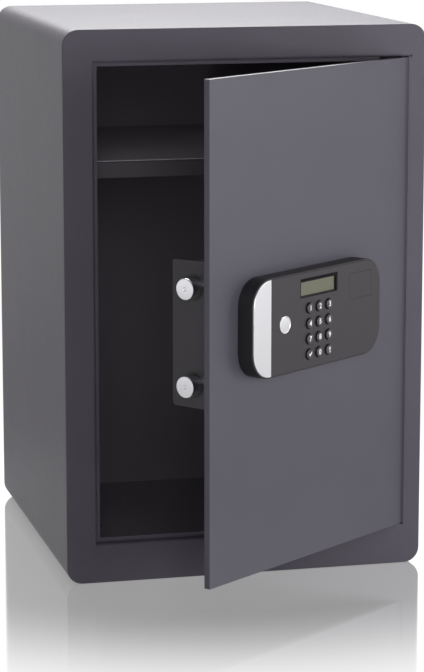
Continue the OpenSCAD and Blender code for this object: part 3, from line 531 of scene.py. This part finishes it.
# Bolt carrier and rack
# A zinc-plated bar joins the rear ends of the bolts, and a milled and ground rack is screwed to its
# middle. The grinding leaves fine rings.
ground_steel, place = open_finish("ground_steel")
rings = add_node(ground_steel, "ShaderNodeTexWave", {"bands_direction": "Z"},
                 {"Vector": place, "Scale": per_metre(0.6) * WAVE, "Distortion": 0.6, "Detail": 2.0})
stain = add_node(ground_steel, "ShaderNodeTexNoise", {},
                 {"Vector": place, "Scale": per_metre(9), "Detail": 3.0})
tone = add_node(ground_steel, "ShaderNodeMix", {"data_type": "RGBA"},
                {FACTOR: stain.outputs[0], DEEP: linear("#96969a"), PALE: linear("#b9b9bd")})
relief = add_node(ground_steel, "ShaderNodeBump", {},
                  {"Height": rings.outputs[0], "Strength": 0.3, "Distance": 0.004 * MM})
close_finish(ground_steel, {"Base Color": tone.outputs[MIXED], "Metallic": 1.0, "Roughness": 0.3,
                            "Normal": relief.outputs[0]})

dress("bolt_carrier", zinc, "zinc_steel", (0.5, 2, None))
dress("rack", ground_steel, "zinc_steel", (0.12, 1, None))
dress("carrier_screws", zinc, "zinc_steel", (0.3, 2, None))


# Pinion and shaft
# An involute pinion, turned from brass bar and hobbed, on the gearmotor's steel output shaft.
# The brass is bright with duller spots of tarnish a few millimetres wide.
brass, place = open_finish("turned_brass")
tarnish = add_node(brass, "ShaderNodeTexNoise", {}, {"Vector": place, "Scale": per_metre(4), "Detail": 3.0})
tone = add_node(brass, "ShaderNodeMix", {"data_type": "RGBA"},
                {FACTOR: tarnish.outputs[0], DEEP: linear("#9b7a3a"), PALE: linear("#c9a860")})
polish = add_node(brass, "ShaderNodeMapRange", {},
                  {"Value": tarnish.outputs[0], "To Min": 0.22, "To Max": 0.4})
close_finish(brass, {"Base Color": tone.outputs[MIXED], "Metallic": 1.0, "Roughness": polish.outputs[0]})
dress("pinion", brass, "brass", (0.1, 1, None))
dress("output_shaft", ground_steel, "zinc_steel", (0.3, 2, None))


# Gearmotor with its bracket
# A pale moulded gearbox under a zinc-plated angle, and below it the drawn steel can of the motor.
# Nylon lets a little light in, so the gearbox looks soft and milky.
pale_plastic = mottled("pale_nylon", 3, 3.0, "#c9c8c0", "#dcdbd4",
                       {"Roughness": 0.5, "Subsurface Weight": 0.05}, (0.2, 0.05))
dress("gearbox", pale_plastic, "pale_plastic", (0.5, 2, None))
dress("motor_can", ground_steel, "zinc_steel", (0.6, 2, None))
dress("motor_bracket", zinc, "zinc_steel", (0.4, 2, None))
dress("motor_screws", zinc, "zinc_steel", (0.3, 2, None))


# Lock cover
# A folded 1.5 mm steel cover over the bolt work, screwed to pillars on the door plate. Its coarse black
# wrinkle powder, drawn 0.9 mm across, breaks up every reflection.
cover_paint = powder_coat("black_wrinkle_coat", "#1b1a1c", "#232225", 0.55, 0.9, 0.08)
dress("lock_cover", cover_paint, "cover_coat", (0.4, 2, None))
dress("standoffs", zinc, "zinc_steel", (0.2, 1, None))
dress_screws("cover_screws", 3.0, 1.8, 1.5)


# Battery bay
# A moulded ABS tray with a sliding lid, both with a fine matt grain, and four AA cells with bare plated
# ends in a glossy dark printed film. Neighbouring cells lie head to tail.
CELL_FILM = 24.5 * MM  # the film ends this far from the cells' middle

abs_black = mottled("black_abs", 0.5, 2.0, "#151416", "#201f22", {"Roughness": 0.5}, (0.5, 0.03))
dress("battery_tray", abs_black, "black_plastic", (0.3, 2, None))
dress("battery_lid", abs_black, "black_plastic", (0.35, 2, None))

cell_film = mottled("dark_cell_film", 5, 2.0, "#17171a", "#1f1f23", {"Metallic": 0.0, "Roughness": 0.3})
shell = bmesh.new()
for k, (lo, hi) in enumerate(solids_of("battery_cells")):
    radius, length = (hi.z - lo.z) / 2 / MM, (hi.x - lo.x) / MM
    cell = turned([(0, 0), (radius - 0.9, 0), (radius - 0.3, 0.25), (radius, 0.8), (radius, length * 0.3),
                   (radius, length - 2.2), (radius - 0.4, length - 1.7), (radius - 1.6, length - 1.4),
                   (3.2, length - 1.4), (2.7, length - 1.0), (2.7, length - 0.2), (2.4, length),
                   (0, length)])
    tail, lie = (lo.x, TO_HINGE) if k % 2 == 0 else (hi.x, TO_HINGE.inverted())
    put(shell, cell, on_door(middle(lo, hi, x=tail), lie))
cells = stand_in("battery_cells", shell, cell_film)
cells_lo, cells_hi = closed_box("battery_cells")
refinish(cells, zinc, lambda p, n: abs((unswing @ p).x - (cells_lo.x + cells_hi.x) / 2) > CELL_FILM)


# Control board, reset button and flat cable
# Fibreglass with a green solder mask over the tracks, black moulded components, a red push button
# that reaches out through the cover, and a grey flat cable to the keypad with its wires 1.27 mm apart.
BOARD_SHEET = 1.7 * MM  # what stands higher on the board than this is a component

solder_mask, place = open_finish("green_solder_mask", -rest_turn)
upright = add_node(solder_mask, "ShaderNodeMapping", {},
                   {"Vector": place, "Rotation": (math.radians(-90), 0, 0)})
tracks = add_node(solder_mask, "ShaderNodeTexBrick", {"offset": 0.5},
                  {"Vector": upright.outputs[0], "Scale": per_metre(5), "Mortar Size": 0.03,
                   "Color1": linear("#1a5134"), "Color2": linear("#17472e"), "Mortar": linear("#2f7650")})
relief = add_node(solder_mask, "ShaderNodeBump", {},
                  {"Height": tracks.outputs["Fac"], "Strength": 0.5, "Distance": 0.03 * MM})
close_finish(solder_mask, {"Base Color": tracks.outputs["Color"], "Roughness": 0.32,
                           "Normal": relief.outputs[0]})
board = dress("main_board", solder_mask, "board", (0.2, 1, None))
board_top = closed_box("main_board")[0].y + BOARD_SHEET
refinish(board, acetal, lambda p, n: (unswing @ p).y > board_top)

red_plastic = mottled("red_abs", 2, 2.0, "#9a1f24", "#b5282d", {"Roughness": 0.35})
dress("reset_button", red_plastic, "red_plastic", (0.3, 2, None))

flat_cable, place = open_finish("grey_flat_cable", -rest_turn)
wires = add_node(flat_cable, "ShaderNodeTexWave", {"bands_direction": "X"},
                 {"Vector": place, "Scale": per_metre(1.27) * WAVE})
tone = add_node(flat_cable, "ShaderNodeMix", {"data_type": "RGBA"},
                {FACTOR: wires.outputs[0], DEEP: linear("#77777b"), PALE: linear("#a4a4a8")})
relief = add_node(flat_cable, "ShaderNodeBump", {},
                  {"Height": wires.outputs[0], "Strength": 0.6, "Distance": 0.2 * MM})
close_finish(flat_cable, {"Base Color": tone.outputs[MIXED], "Roughness": 0.5, "Normal": relief.outputs[0]})
dress("keypad_ribbon", flat_cable, "ribbon", (0.2, 2, None))


# Keypad housing
# A black ABS moulding, 17 mm deep, screwed on from inside the door. Its mould was spark-eroded, which
# leaves a fine even grain and no clear reflection; the rim is rounded and lacquered like the face, and its
# paler lacquer is partly a painted highlight, a thin light line along the rim.
HOUSING_R = 25 * MM  # the corners of its outline
RIM_WIDTH, LACQUER_AND_HIGHLIGHT_DEPTH = 0.6 * MM, 0.7 * MM

housing_plastic = mottled("spark_grained_abs", 0.4, 2.0, "#141315", "#1d1c1f",
                          {"Roughness": 0.48}, (0.5, 0.03))
housing_lo, housing_hi = closed_box("keypad_housing")


def rim_depth(p):
    """How far inside the housing's outline a place on the closed door lies."""
    away = unswing @ p - (housing_lo + housing_hi) / 2
    half = (housing_hi - housing_lo) / 2
    out = Vector((max(abs(away.x) - half.x + HOUSING_R, 0), max(abs(away.z) - half.z + HOUSING_R, 0)))
    return HOUSING_R - out.length


def on_rim(p):
    return (unswing @ p).y < housing_lo.y + SKIN and rim_depth(p) < RIM_WIDTH


housing = dress("keypad_housing", housing_plastic, "housing_plastic", (0.8, 3, on_rim), (0.15, 1, None))
dress_screws("housing_screws", 4.0, 2.4, 2.0)


# Face inlay and the flush cover of the emergency lock
# Screen-printed polycarbonate with a satin lacquer: dark warm grey, even, with a soft broad sheen.
# It is glued into the housing, and the square cover is let into it with a hairline seam all round.
face_film, place = open_finish("satin_printed_polycarbonate")
lacquer = add_node(face_film, "ShaderNodeTexNoise", {},
                   {"Vector": place, "Scale": per_metre(0.6), "Detail": 2.0})
cloud = add_node(face_film, "ShaderNodeTexNoise", {},
                 {"Vector": place, "Scale": per_metre(45), "Detail": 1.0})
tone = add_node(face_film, "ShaderNodeMix", {"data_type": "RGBA"},
                {FACTOR: cloud.outputs[0], DEEP: linear("#272228"), PALE: linear("#2e2830")})
polish = add_node(face_film, "ShaderNodeMapRange", {},
                  {"Value": lacquer.outputs[0], "To Min": 0.34, "To Max": 0.46})
relief = add_node(face_film, "ShaderNodeBump", {},
                  {"Height": lacquer.outputs[0], "Strength": 0.3, "Distance": 0.01 * MM})
close_finish(face_film, {"Base Color": tone.outputs[MIXED], "Roughness": polish.outputs[0],
                         "Normal": relief.outputs[0]})
hatch_lo, hatch_hi = closed_box("override_cover")


def off_hatch(p):
    """Whether a place lies more than a millimetre away from the square cover."""
    q = unswing @ p
    return not (hatch_lo.x - MM < q.x < hatch_hi.x + MM and hatch_lo.z - MM < q.z < hatch_hi.z + MM)


dress("face_plate", face_film, "face_plastic", (0.2, 2, off_hatch), (0.04, 1, None))
dress("override_cover", face_film, "face_plastic", (0.04, 1, None))
# Painted highlight in part: the housing's front takes the paler face lacquer, a light line along the rim.
refinish(housing, face_film, lambda p, n: (unswing @ p).y < housing_lo.y + LACQUER_AND_HIGHLIGHT_DEPTH)


# Bright end cap and round badge
# ABS plated in satin chrome. The cap, also the pull edge, is brushed from top to bottom; the badge is a
# slightly domed disc with a turned rim and no marking.
TO_FRONT = Matrix.Rotation(math.radians(90), 4, "X")

cap_chrome, place = open_finish("satin_chrome", -rest_turn)
stretched = add_node(cap_chrome, "ShaderNodeMapping", {},
                     {"Vector": place, "Scale": (per_metre(0.5), per_metre(0.5), per_metre(60))})
brushing = add_node(cap_chrome, "ShaderNodeTexNoise", {},
                    {"Vector": stretched.outputs[0], "Scale": 1.0, "Detail": 2.0})
tone = add_node(cap_chrome, "ShaderNodeMix", {"data_type": "RGBA"},
                {FACTOR: brushing.outputs[0], DEEP: linear("#ececf0"), PALE: linear("#f6f6f9")})
relief = add_node(cap_chrome, "ShaderNodeBump", {},
                  {"Height": brushing.outputs[0], "Strength": 0.25, "Distance": 0.01 * MM})
close_finish(cap_chrome, {"Base Color": tone.outputs[MIXED], "Metallic": 1.0, "Roughness": 0.26,
                          "Normal": relief.outputs[0]})
dress("end_cap", cap_chrome, "cap_chrome", (0.3, 2, None))

lo, hi = closed_box("badge_disc")
radius, height = (hi.x - lo.x) / 2 / MM, (hi.y - lo.y) / MM
disc = turned([(0, 0), (radius, 0), (radius, height * 0.5), (radius - 0.15, height * 0.85),
               (radius - 0.45, height), (radius - 0.8, height * 0.9), (radius - 1.0, height * 0.62),
               (radius - 1.3, height * 0.6), (radius * 0.55, height * 0.78), (0, height * 0.86)], 56)
disc = put(bmesh.new(), disc, on_door(middle(lo, hi, y=hi.y), TO_FRONT))
stand_in("badge_disc", disc, cap_chrome)


# Display
# A reflective LCD: grey-green glass with a pale reflector behind it, 2 mm below the face, a black border
# round it, and a matt black frame printed round its window. Both are widest along the top, and the border
# also along the sides; there their black is partly painted shade, the shadow of the window's edges.
# It is switched off, so it is blank.
lcd_glass, place = open_finish("reflective_lcd_glass", -rest_turn)
fleck = add_node(lcd_glass, "ShaderNodeTexNoise", {},
                 {"Vector": place, "Scale": per_metre(0.5), "Detail": 2.0})
fade = add_node(lcd_glass, "ShaderNodeTexNoise", {},
                {"Vector": place, "Scale": per_metre(50), "Detail": 0.0})
blend = add_node(lcd_glass, "ShaderNodeMath", {"operation": "MULTIPLY_ADD"},
                 {0: fleck.outputs[0], 1: 0.25, 2: fade.outputs[0]})
tone = add_node(lcd_glass, "ShaderNodeMix", {"data_type": "RGBA"},
                {FACTOR: blend.outputs[0], DEEP: linear("#4b4c38"), PALE: linear("#5b5c46")})
close_finish(lcd_glass, {"Base Color": tone.outputs[MIXED], "Roughness": 0.35,
                         "Coat Weight": 0.6, "Coat Roughness": 0.05})
dress("lcd_module", lcd_glass, "lcd_glass", (0.2, 1, None))

# Half the window in the face, in mm: the module reaches 2 mm further at the sides and 1.5 mm above and below.
lcd_lo, lcd_hi = closed_box("lcd_module")
half_w, half_h = (lcd_hi.x - lcd_lo.x) / 2 / MM - 2, (lcd_hi.z - lcd_lo.z) / 2 / MM - 1.5


def window_box(side, bottom, top):
    """Left, bottom, right and top of a box, in mm, that lies this far inside the window's edges."""
    return side - half_w, bottom - half_h, half_w - side, half_h - top


def flat_frame(inside, outside, thick):
    """A flat frame in the XY plane between two boxes (left, bottom, right, top), thick towards +Z, in mm."""
    border = bmesh.new()
    inner, outer = [[border.verts.new((x * MM, y * MM, 0)) for x, y in ((l, b), (r, b), (r, t), (l, t))]
                    for l, b, r, t in (inside, outside)]
    for k in range(4):
        following = (k + 1) % 4
        border.faces.new((outer[k], outer[following], inner[following], inner[k]))
    push_out(border, border.faces[:], (0, 0, thick * MM))
    bmesh.ops.recalc_face_normals(border, faces=border.faces)
    return ease(border, thick * 0.25, 1)


black_ink_and_shade = mottled("matt_black_ink_and_painted_shade", 0.8, 1.0, "#09090a", "#111112",
                    {"Roughness": 0.7, "Specular IOR Level": 0.1})
# Partly painted shade: the black frames are widest along the top, where the window's edge would cast shadow.
for name, level, thick, inside, outside in (
    ("display_border", lcd_lo.y, 0.3, window_box(1.8, 0.3, 1.2), window_box(0.05, 0.05, 0.05)),
    ("display_print", closed_box("face_plate")[0].y, 0.08,
     window_box(-0.2, -0.2, -0.2), window_box(-0.9, -1.1, -2.4)),
):
    seat = on_door(middle(lcd_lo, lcd_hi, y=level), TO_FRONT)
    border = put(bmesh.new(), flat_frame(inside, outside, thick), seat)
    add_piece(name, border, black_ink_and_shade, "door")


# Keys
# Twelve black ABS caps with a dished top, lacquered like the face: the legend is a second, white shot
# that fills its outline, so it stands level and crisp. Each has a flange that the face inlay holds back.
MARK_HALF = 0.1 * MM  # half of a legend's thickness
MARK_SINK = 0.16 * MM  # its middle lies this far below the key's rim, in the dish
# Painted shade in part: the caps' sides below this depth are near-black, darkening the ring round each key.
LACQUER_AND_SHADE_LINE = 0.6 * MM  # below this the cap is bare black plastic
FLANGE, FLANGE_FRONT, FLANGE_BACK = 1.2, 4.1, 4.9  # its width and its levels behind the rim, in mm

key_plastic = mottled("satin_key_abs", 0.8, 2.0, "#302d33", "#39363c", {"Roughness": 0.42}, (0.3, 0.01))
white_shot = mottled("white_second_shot", 0.8, 1.0, "#dcdce0", "#f0f0f3", {"Roughness": 0.4})


def digit_mark(character):
    """A digit as a raised mark in the XY plane, made a mesh at its own origin."""
    outline = bpy.data.curves.new("digit", "FONT")
    outline.body, outline.size, outline.offset = character, 6.6 * MM, 0.19 * MM
    outline.align_x, outline.align_y, outline.resolution_u = "CENTER", "CENTER", 5
    outline.extrude = MARK_HALF
    holder = bpy.data.objects.new("digit", outline)
    bpy.context.scene.collection.objects.link(holder)
    mesh = bpy.data.meshes.new_from_object(holder.evaluated_get(bpy.context.evaluated_depsgraph_get()))
    bpy.data.objects.remove(holder)
    mark = bmesh.new()
    mark.from_mesh(mesh)
    bmesh.ops.remove_doubles(mark, verts=mark.verts, dist=ONE_POINT)
    bpy.data.meshes.remove(mesh)
    return mark


def raise_mark(mark):
    """Gives a flat mark in the XY plane its thickness."""
    push_out(mark, mark.faces[:], (0, 0, 2 * MARK_HALF))
    bmesh.ops.translate(mark, vec=(0, 0, -MARK_HALF), verts=mark.verts)
    bmesh.ops.recalc_face_normals(mark, faces=mark.faces)
    return mark


def tick_mark():
    """The enter key's tick."""
    mark = bmesh.new()
    points = [(-2.3, 0.2), (-1.5, 0.9), (-0.6, -0.3), (1.6, 2.6), (2.5, 1.9), (-0.5, -2.1)]
    mark.faces.new([mark.verts.new((x * MM, y * MM, 0)) for x, y in points])
    return raise_mark(mark)


def key_mark():
    """The cancel key's plain key: a ring, then the shank and two teeth as (x, y, width, height) in mm."""
    mark = bmesh.new()
    bmesh.ops.create_circle(mark, cap_ends=True, radius=1.35 * MM, segments=20)
    bmesh.ops.inset_region(mark, faces=mark.faces[:], thickness=0.62 * MM, use_boundary=True)
    eye = min(mark.faces, key=lambda f: f.calc_center_median().length)
    bmesh.ops.delete(mark, geom=[eye], context="FACES_ONLY")
    bmesh.ops.translate(mark, vec=(0, 1.45 * MM, 0), verts=mark.verts)
    for x, y, w, h in ((0, -1.35, 0.7, 3.1), (0.75, -1.5, 0.9, 0.6), (0.65, -2.6, 0.7, 0.6)):
        bar = bmesh.ops.create_grid(mark, x_segments=1, y_segments=1, size=0.5)["verts"]
        bmesh.ops.scale(mark, vec=(w * MM, h * MM, 1), verts=bar)
        bmesh.ops.translate(mark, vec=(x * MM, y * MM, 0), verts=bar)
    return raise_mark(mark)


drawn_marks = {"enter": tick_mark, "cancel": key_mark}
for key in [n for n in sorted(nodes) if n.startswith("key_") and n != "key_mat"]:
    lo, hi = closed_box(key)
    deep = (hi.y - lo.y) / MM
    radius = (hi.x - lo.x) / 2 / MM - FLANGE
    cap = turned([(0, -0.22), (1.6, -0.19), (2.8, -0.1), (radius - 1.2, -0.02), (radius - 0.85, 0),
                  (radius - 0.4, -0.22), (radius - 0.12, -0.5), (radius, -0.85), (radius, -FLANGE_FRONT),
                  (radius + FLANGE, -FLANGE_FRONT), (radius + FLANGE, -FLANGE_BACK),
                  (radius, -FLANGE_BACK), (radius, -deep), (0, -deep)])
    top = on_door(middle(lo, hi, y=lo.y), TO_FRONT)
    shell = put(bmesh.new(), cap, top)
    cap_faces = len(shell.faces)
    name = key.removeprefix("key_")
    mark = drawn_marks[name]() if name in drawn_marks else digit_mark(name)
    put(shell, mark, top @ Matrix.Translation((0, 0, -MARK_SINK)))
    shell.faces.ensure_lookup_table()
    for face in shell.faces[cap_faces:]:
        face.material_index = 1
    piece = stand_in(key, shell, key_plastic)
    piece.data.materials.append(white_shot)
    # Painted shade in part: the cap's sides are near-black acetal, which darkens the ring round each key.
    refinish(piece, acetal, lambda p, n: (unswing @ p).y > lo.y + LACQUER_AND_SHADE_LINE)


# Keypad's inside
# A silicone mat with a dome under each key, on a green board. They show only when a key is out.
# Silicone has a dull skin with a paler bloom on it.
silicone = mottled("grey_silicone", 1.5, 3.0, "#5a5a5d", "#6d6d70", {"Roughness": 0.7})
dress("key_mat", silicone, "key_rubber", (0.2, 2, None))
dress("keypad_board", solder_mask, "board", (0.2, 1, None))


# Emergency lock
# A chrome-plated barrel through the door with a turning plug; its keyway is a plain slot.
# Both have the bolts' chrome.
dress("override_lock", chrome, "bolt_chrome", (0.4, 2, None))
dress("override_plug", chrome, "bolt_chrome", (0.15, 2, None))


# Studio
# A glossy white floor that mirrors the foot of the safe and fades to paper white, five softboxes
# and a surround that is white behind the safe and grey behind the camera.
floor_finish, place = open_finish("white_acrylic_floor")
reach = add_node(floor_finish, "ShaderNodeVectorMath", {"operation": "LENGTH"}, {0: place}).outputs["Value"]
mirror_share = add_node(floor_finish, "ShaderNodeMapRange", {"interpolation_type": "SMOOTHSTEP"},
                        {"Value": reach, "From Min": 0.3, "From Max": 0.6, "To Min": 0.68, "To Max": 0.0})
shade_share = add_node(floor_finish, "ShaderNodeMapRange", {},
                       {"Value": reach, "From Min": 0.2, "From Max": 0.45, "To Min": 0.12, "To Max": 0.0})
# Painted shade: in mirror reflections the floor near the safe is dimmer than when it is seen directly.
ray = add_node(floor_finish, "ShaderNodeLightPath")
near = add_node(floor_finish, "ShaderNodeMapRange", {},
                {"Value": reach, "From Min": 0.8, "From Max": 2.6, "To Min": 0.64, "To Max": 1.0})
level = add_node(floor_finish, "ShaderNodeMath", {"operation": "MAXIMUM"},
                 {0: ray.outputs["Is Camera Ray"], 1: near.outputs[0]})
paper = add_node(floor_finish, "ShaderNodeEmission", {},
                 {"Color": (1, 1, 1, 1), "Strength": level.outputs[0]})
matt = add_node(floor_finish, "ShaderNodeBsdfDiffuse", {}, {"Color": (0.9, 0.9, 0.9, 1)})
mirror = add_node(floor_finish, "ShaderNodeBsdfGlossy", {}, {"Color": (1, 1, 1, 1), "Roughness": 0.07})
white = add_node(floor_finish, "ShaderNodeMixShader", {},
                 {0: shade_share.outputs[0], 1: paper.outputs[0], 2: matt.outputs[0]})
shown = add_node(floor_finish, "ShaderNodeMixShader", {},
                 {0: mirror_share.outputs[0], 1: white.outputs[0], 2: mirror.outputs[0]})
# Only rays that show the floor get this mix; to diffuse light it is plain matt white and gives off none.
seen = add_node(floor_finish, "ShaderNodeMath", {"operation": "MAXIMUM"},
                {0: ray.outputs["Is Camera Ray"], 1: ray.outputs["Is Glossy Ray"]})
seen = add_node(floor_finish, "ShaderNodeMath", {"operation": "MAXIMUM"},
                {0: seen.outputs[0], 1: ray.outputs["Is Transmission Ray"]})
chosen = add_node(floor_finish, "ShaderNodeMixShader", {},
                  {0: seen.outputs[0], 1: matt.outputs[0], 2: shown.outputs[0]})
add_node(floor_finish, "ShaderNodeOutputMaterial", {}, {"Surface": chosen.outputs[0]})

FLOOR_REACH, FLOOR_DROP = 6, 0.1 * MM  # how far it spreads from the safe, and how far it lies below
ground = bmesh.new()
bmesh.ops.create_grid(ground, x_segments=1, y_segments=1, size=FLOOR_REACH)
bmesh.ops.translate(ground, vec=(0, 0, -FLOOR_DROP), verts=ground.verts)
floor_mesh = bpy.data.meshes.new("studio_floor")
ground.to_mesh(floor_mesh)
ground.free()
floor_mesh.materials.append(floor_finish)
studio_floor = bpy.data.objects.new("studio_floor", floor_mesh)
bpy.context.scene.collection.objects.link(studio_floor)

world = bpy.data.worlds.new("white_surround")
bpy.context.scene.world = world
world.use_nodes = True
world.node_tree.nodes.clear()
ray = add_node(world, "ShaderNodeLightPath")
facing = add_node(world, "ShaderNodeVectorMath", {"operation": "DOT_PRODUCT"},
                  {0: add_node(world, "ShaderNodeTexCoord").outputs["Generated"], 1: (0.35, 0.94, 0)})
mirrored = add_node(world, "ShaderNodeMapRange", {},
                    {"Value": facing.outputs["Value"],
                     "From Min": 0.5, "From Max": 0.85, "To Min": 0.45, "To Max": 1.2})
level = add_node(world, "ShaderNodeMath", {"operation": "MULTIPLY"},
                 {0: ray.outputs["Is Glossy Ray"], 1: mirrored.outputs[0]})
level = add_node(world, "ShaderNodeMath", {"operation": "ADD"},
                 {0: level.outputs[0], 1: ray.outputs["Is Camera Ray"]})
level = add_node(world, "ShaderNodeMath", {"operation": "ADD"},
                 {0: level.outputs[0], 1: ray.outputs["Is Transmission Ray"]})
level = add_node(world, "ShaderNodeMath", {"operation": "MAXIMUM"}, {0: level.outputs[0], 1: 0.04})
sky = add_node(world, "ShaderNodeBackground", {}, {"Color": (1, 1, 1, 1), "Strength": level.outputs[0]})
add_node(world, "ShaderNodeOutputWorld", {}, {"Surface": sky.outputs[0]})

# The two lamps on the right cast no shadow of the front panel: it would draw a dark line beside the door,
# which the photo doesn't show.
front_edge = bpy.data.collections.new("front_edge")
for piece in ("hinge_strip", "front_frame_finished"):
    front_edge.objects.link(bpy.data.objects[piece])
for piece in front_edge.collection_objects:
    piece.light_linking.link_state = "EXCLUDE"

LAMPS_AIM = Vector((0, -0.15, 0.3))
for name, spot, size, watts in (
    ("right_softbox", (0.9, -1.6, 0.4), 0.55, 12),
    ("side_softbox", (2.2, -0.9, 0.8), 0.8, 12),
    ("front_softbox", (-0.4, -2.4, 0.9), 0.8, 11),
    ("high_fill", (-0.5, -1.9, 1.4), 0.8, 5),
    ("top_softbox", (0.1, 1.3, 1.9), 1.4, 70),
):
    lamp = bpy.data.lights.new(name, "AREA")
    lamp.size, lamp.energy = size, watts
    holder = bpy.data.objects.new(name, lamp)
    holder.location = spot
    holder.rotation_euler = (LAMPS_AIM - Vector(spot)).to_track_quat("-Z", "Y").to_euler()
    holder.visible_camera = False
    if name in ("right_softbox", "side_softbox"):
        holder.light_linking.blocker_collection = front_edge
    bpy.context.scene.collection.objects.link(holder)

# The camera was fitted to the corners of the body, the opening and the door in the photo.
LOOKS_DOWN, LOOKS_RIGHT = math.radians(10.6691), math.radians(13.9651)
view = bpy.data.cameras.new("photo_view")
view.sensor_width, view.lens = 36.0, 142.057
view.clip_start, view.clip_end = 0.1, 30.0
eye = bpy.data.objects.new("photo_view", view)
eye.location = (-0.628577, -2.572173, 0.698675)
eye.rotation_euler = (math.radians(90) - LOOKS_DOWN, 0, -LOOKS_RIGHT)
bpy.context.scene.collection.objects.link(eye)
bpy.context.scene.camera = eye
bpy.context.scene.view_settings.view_transform = "Standard"
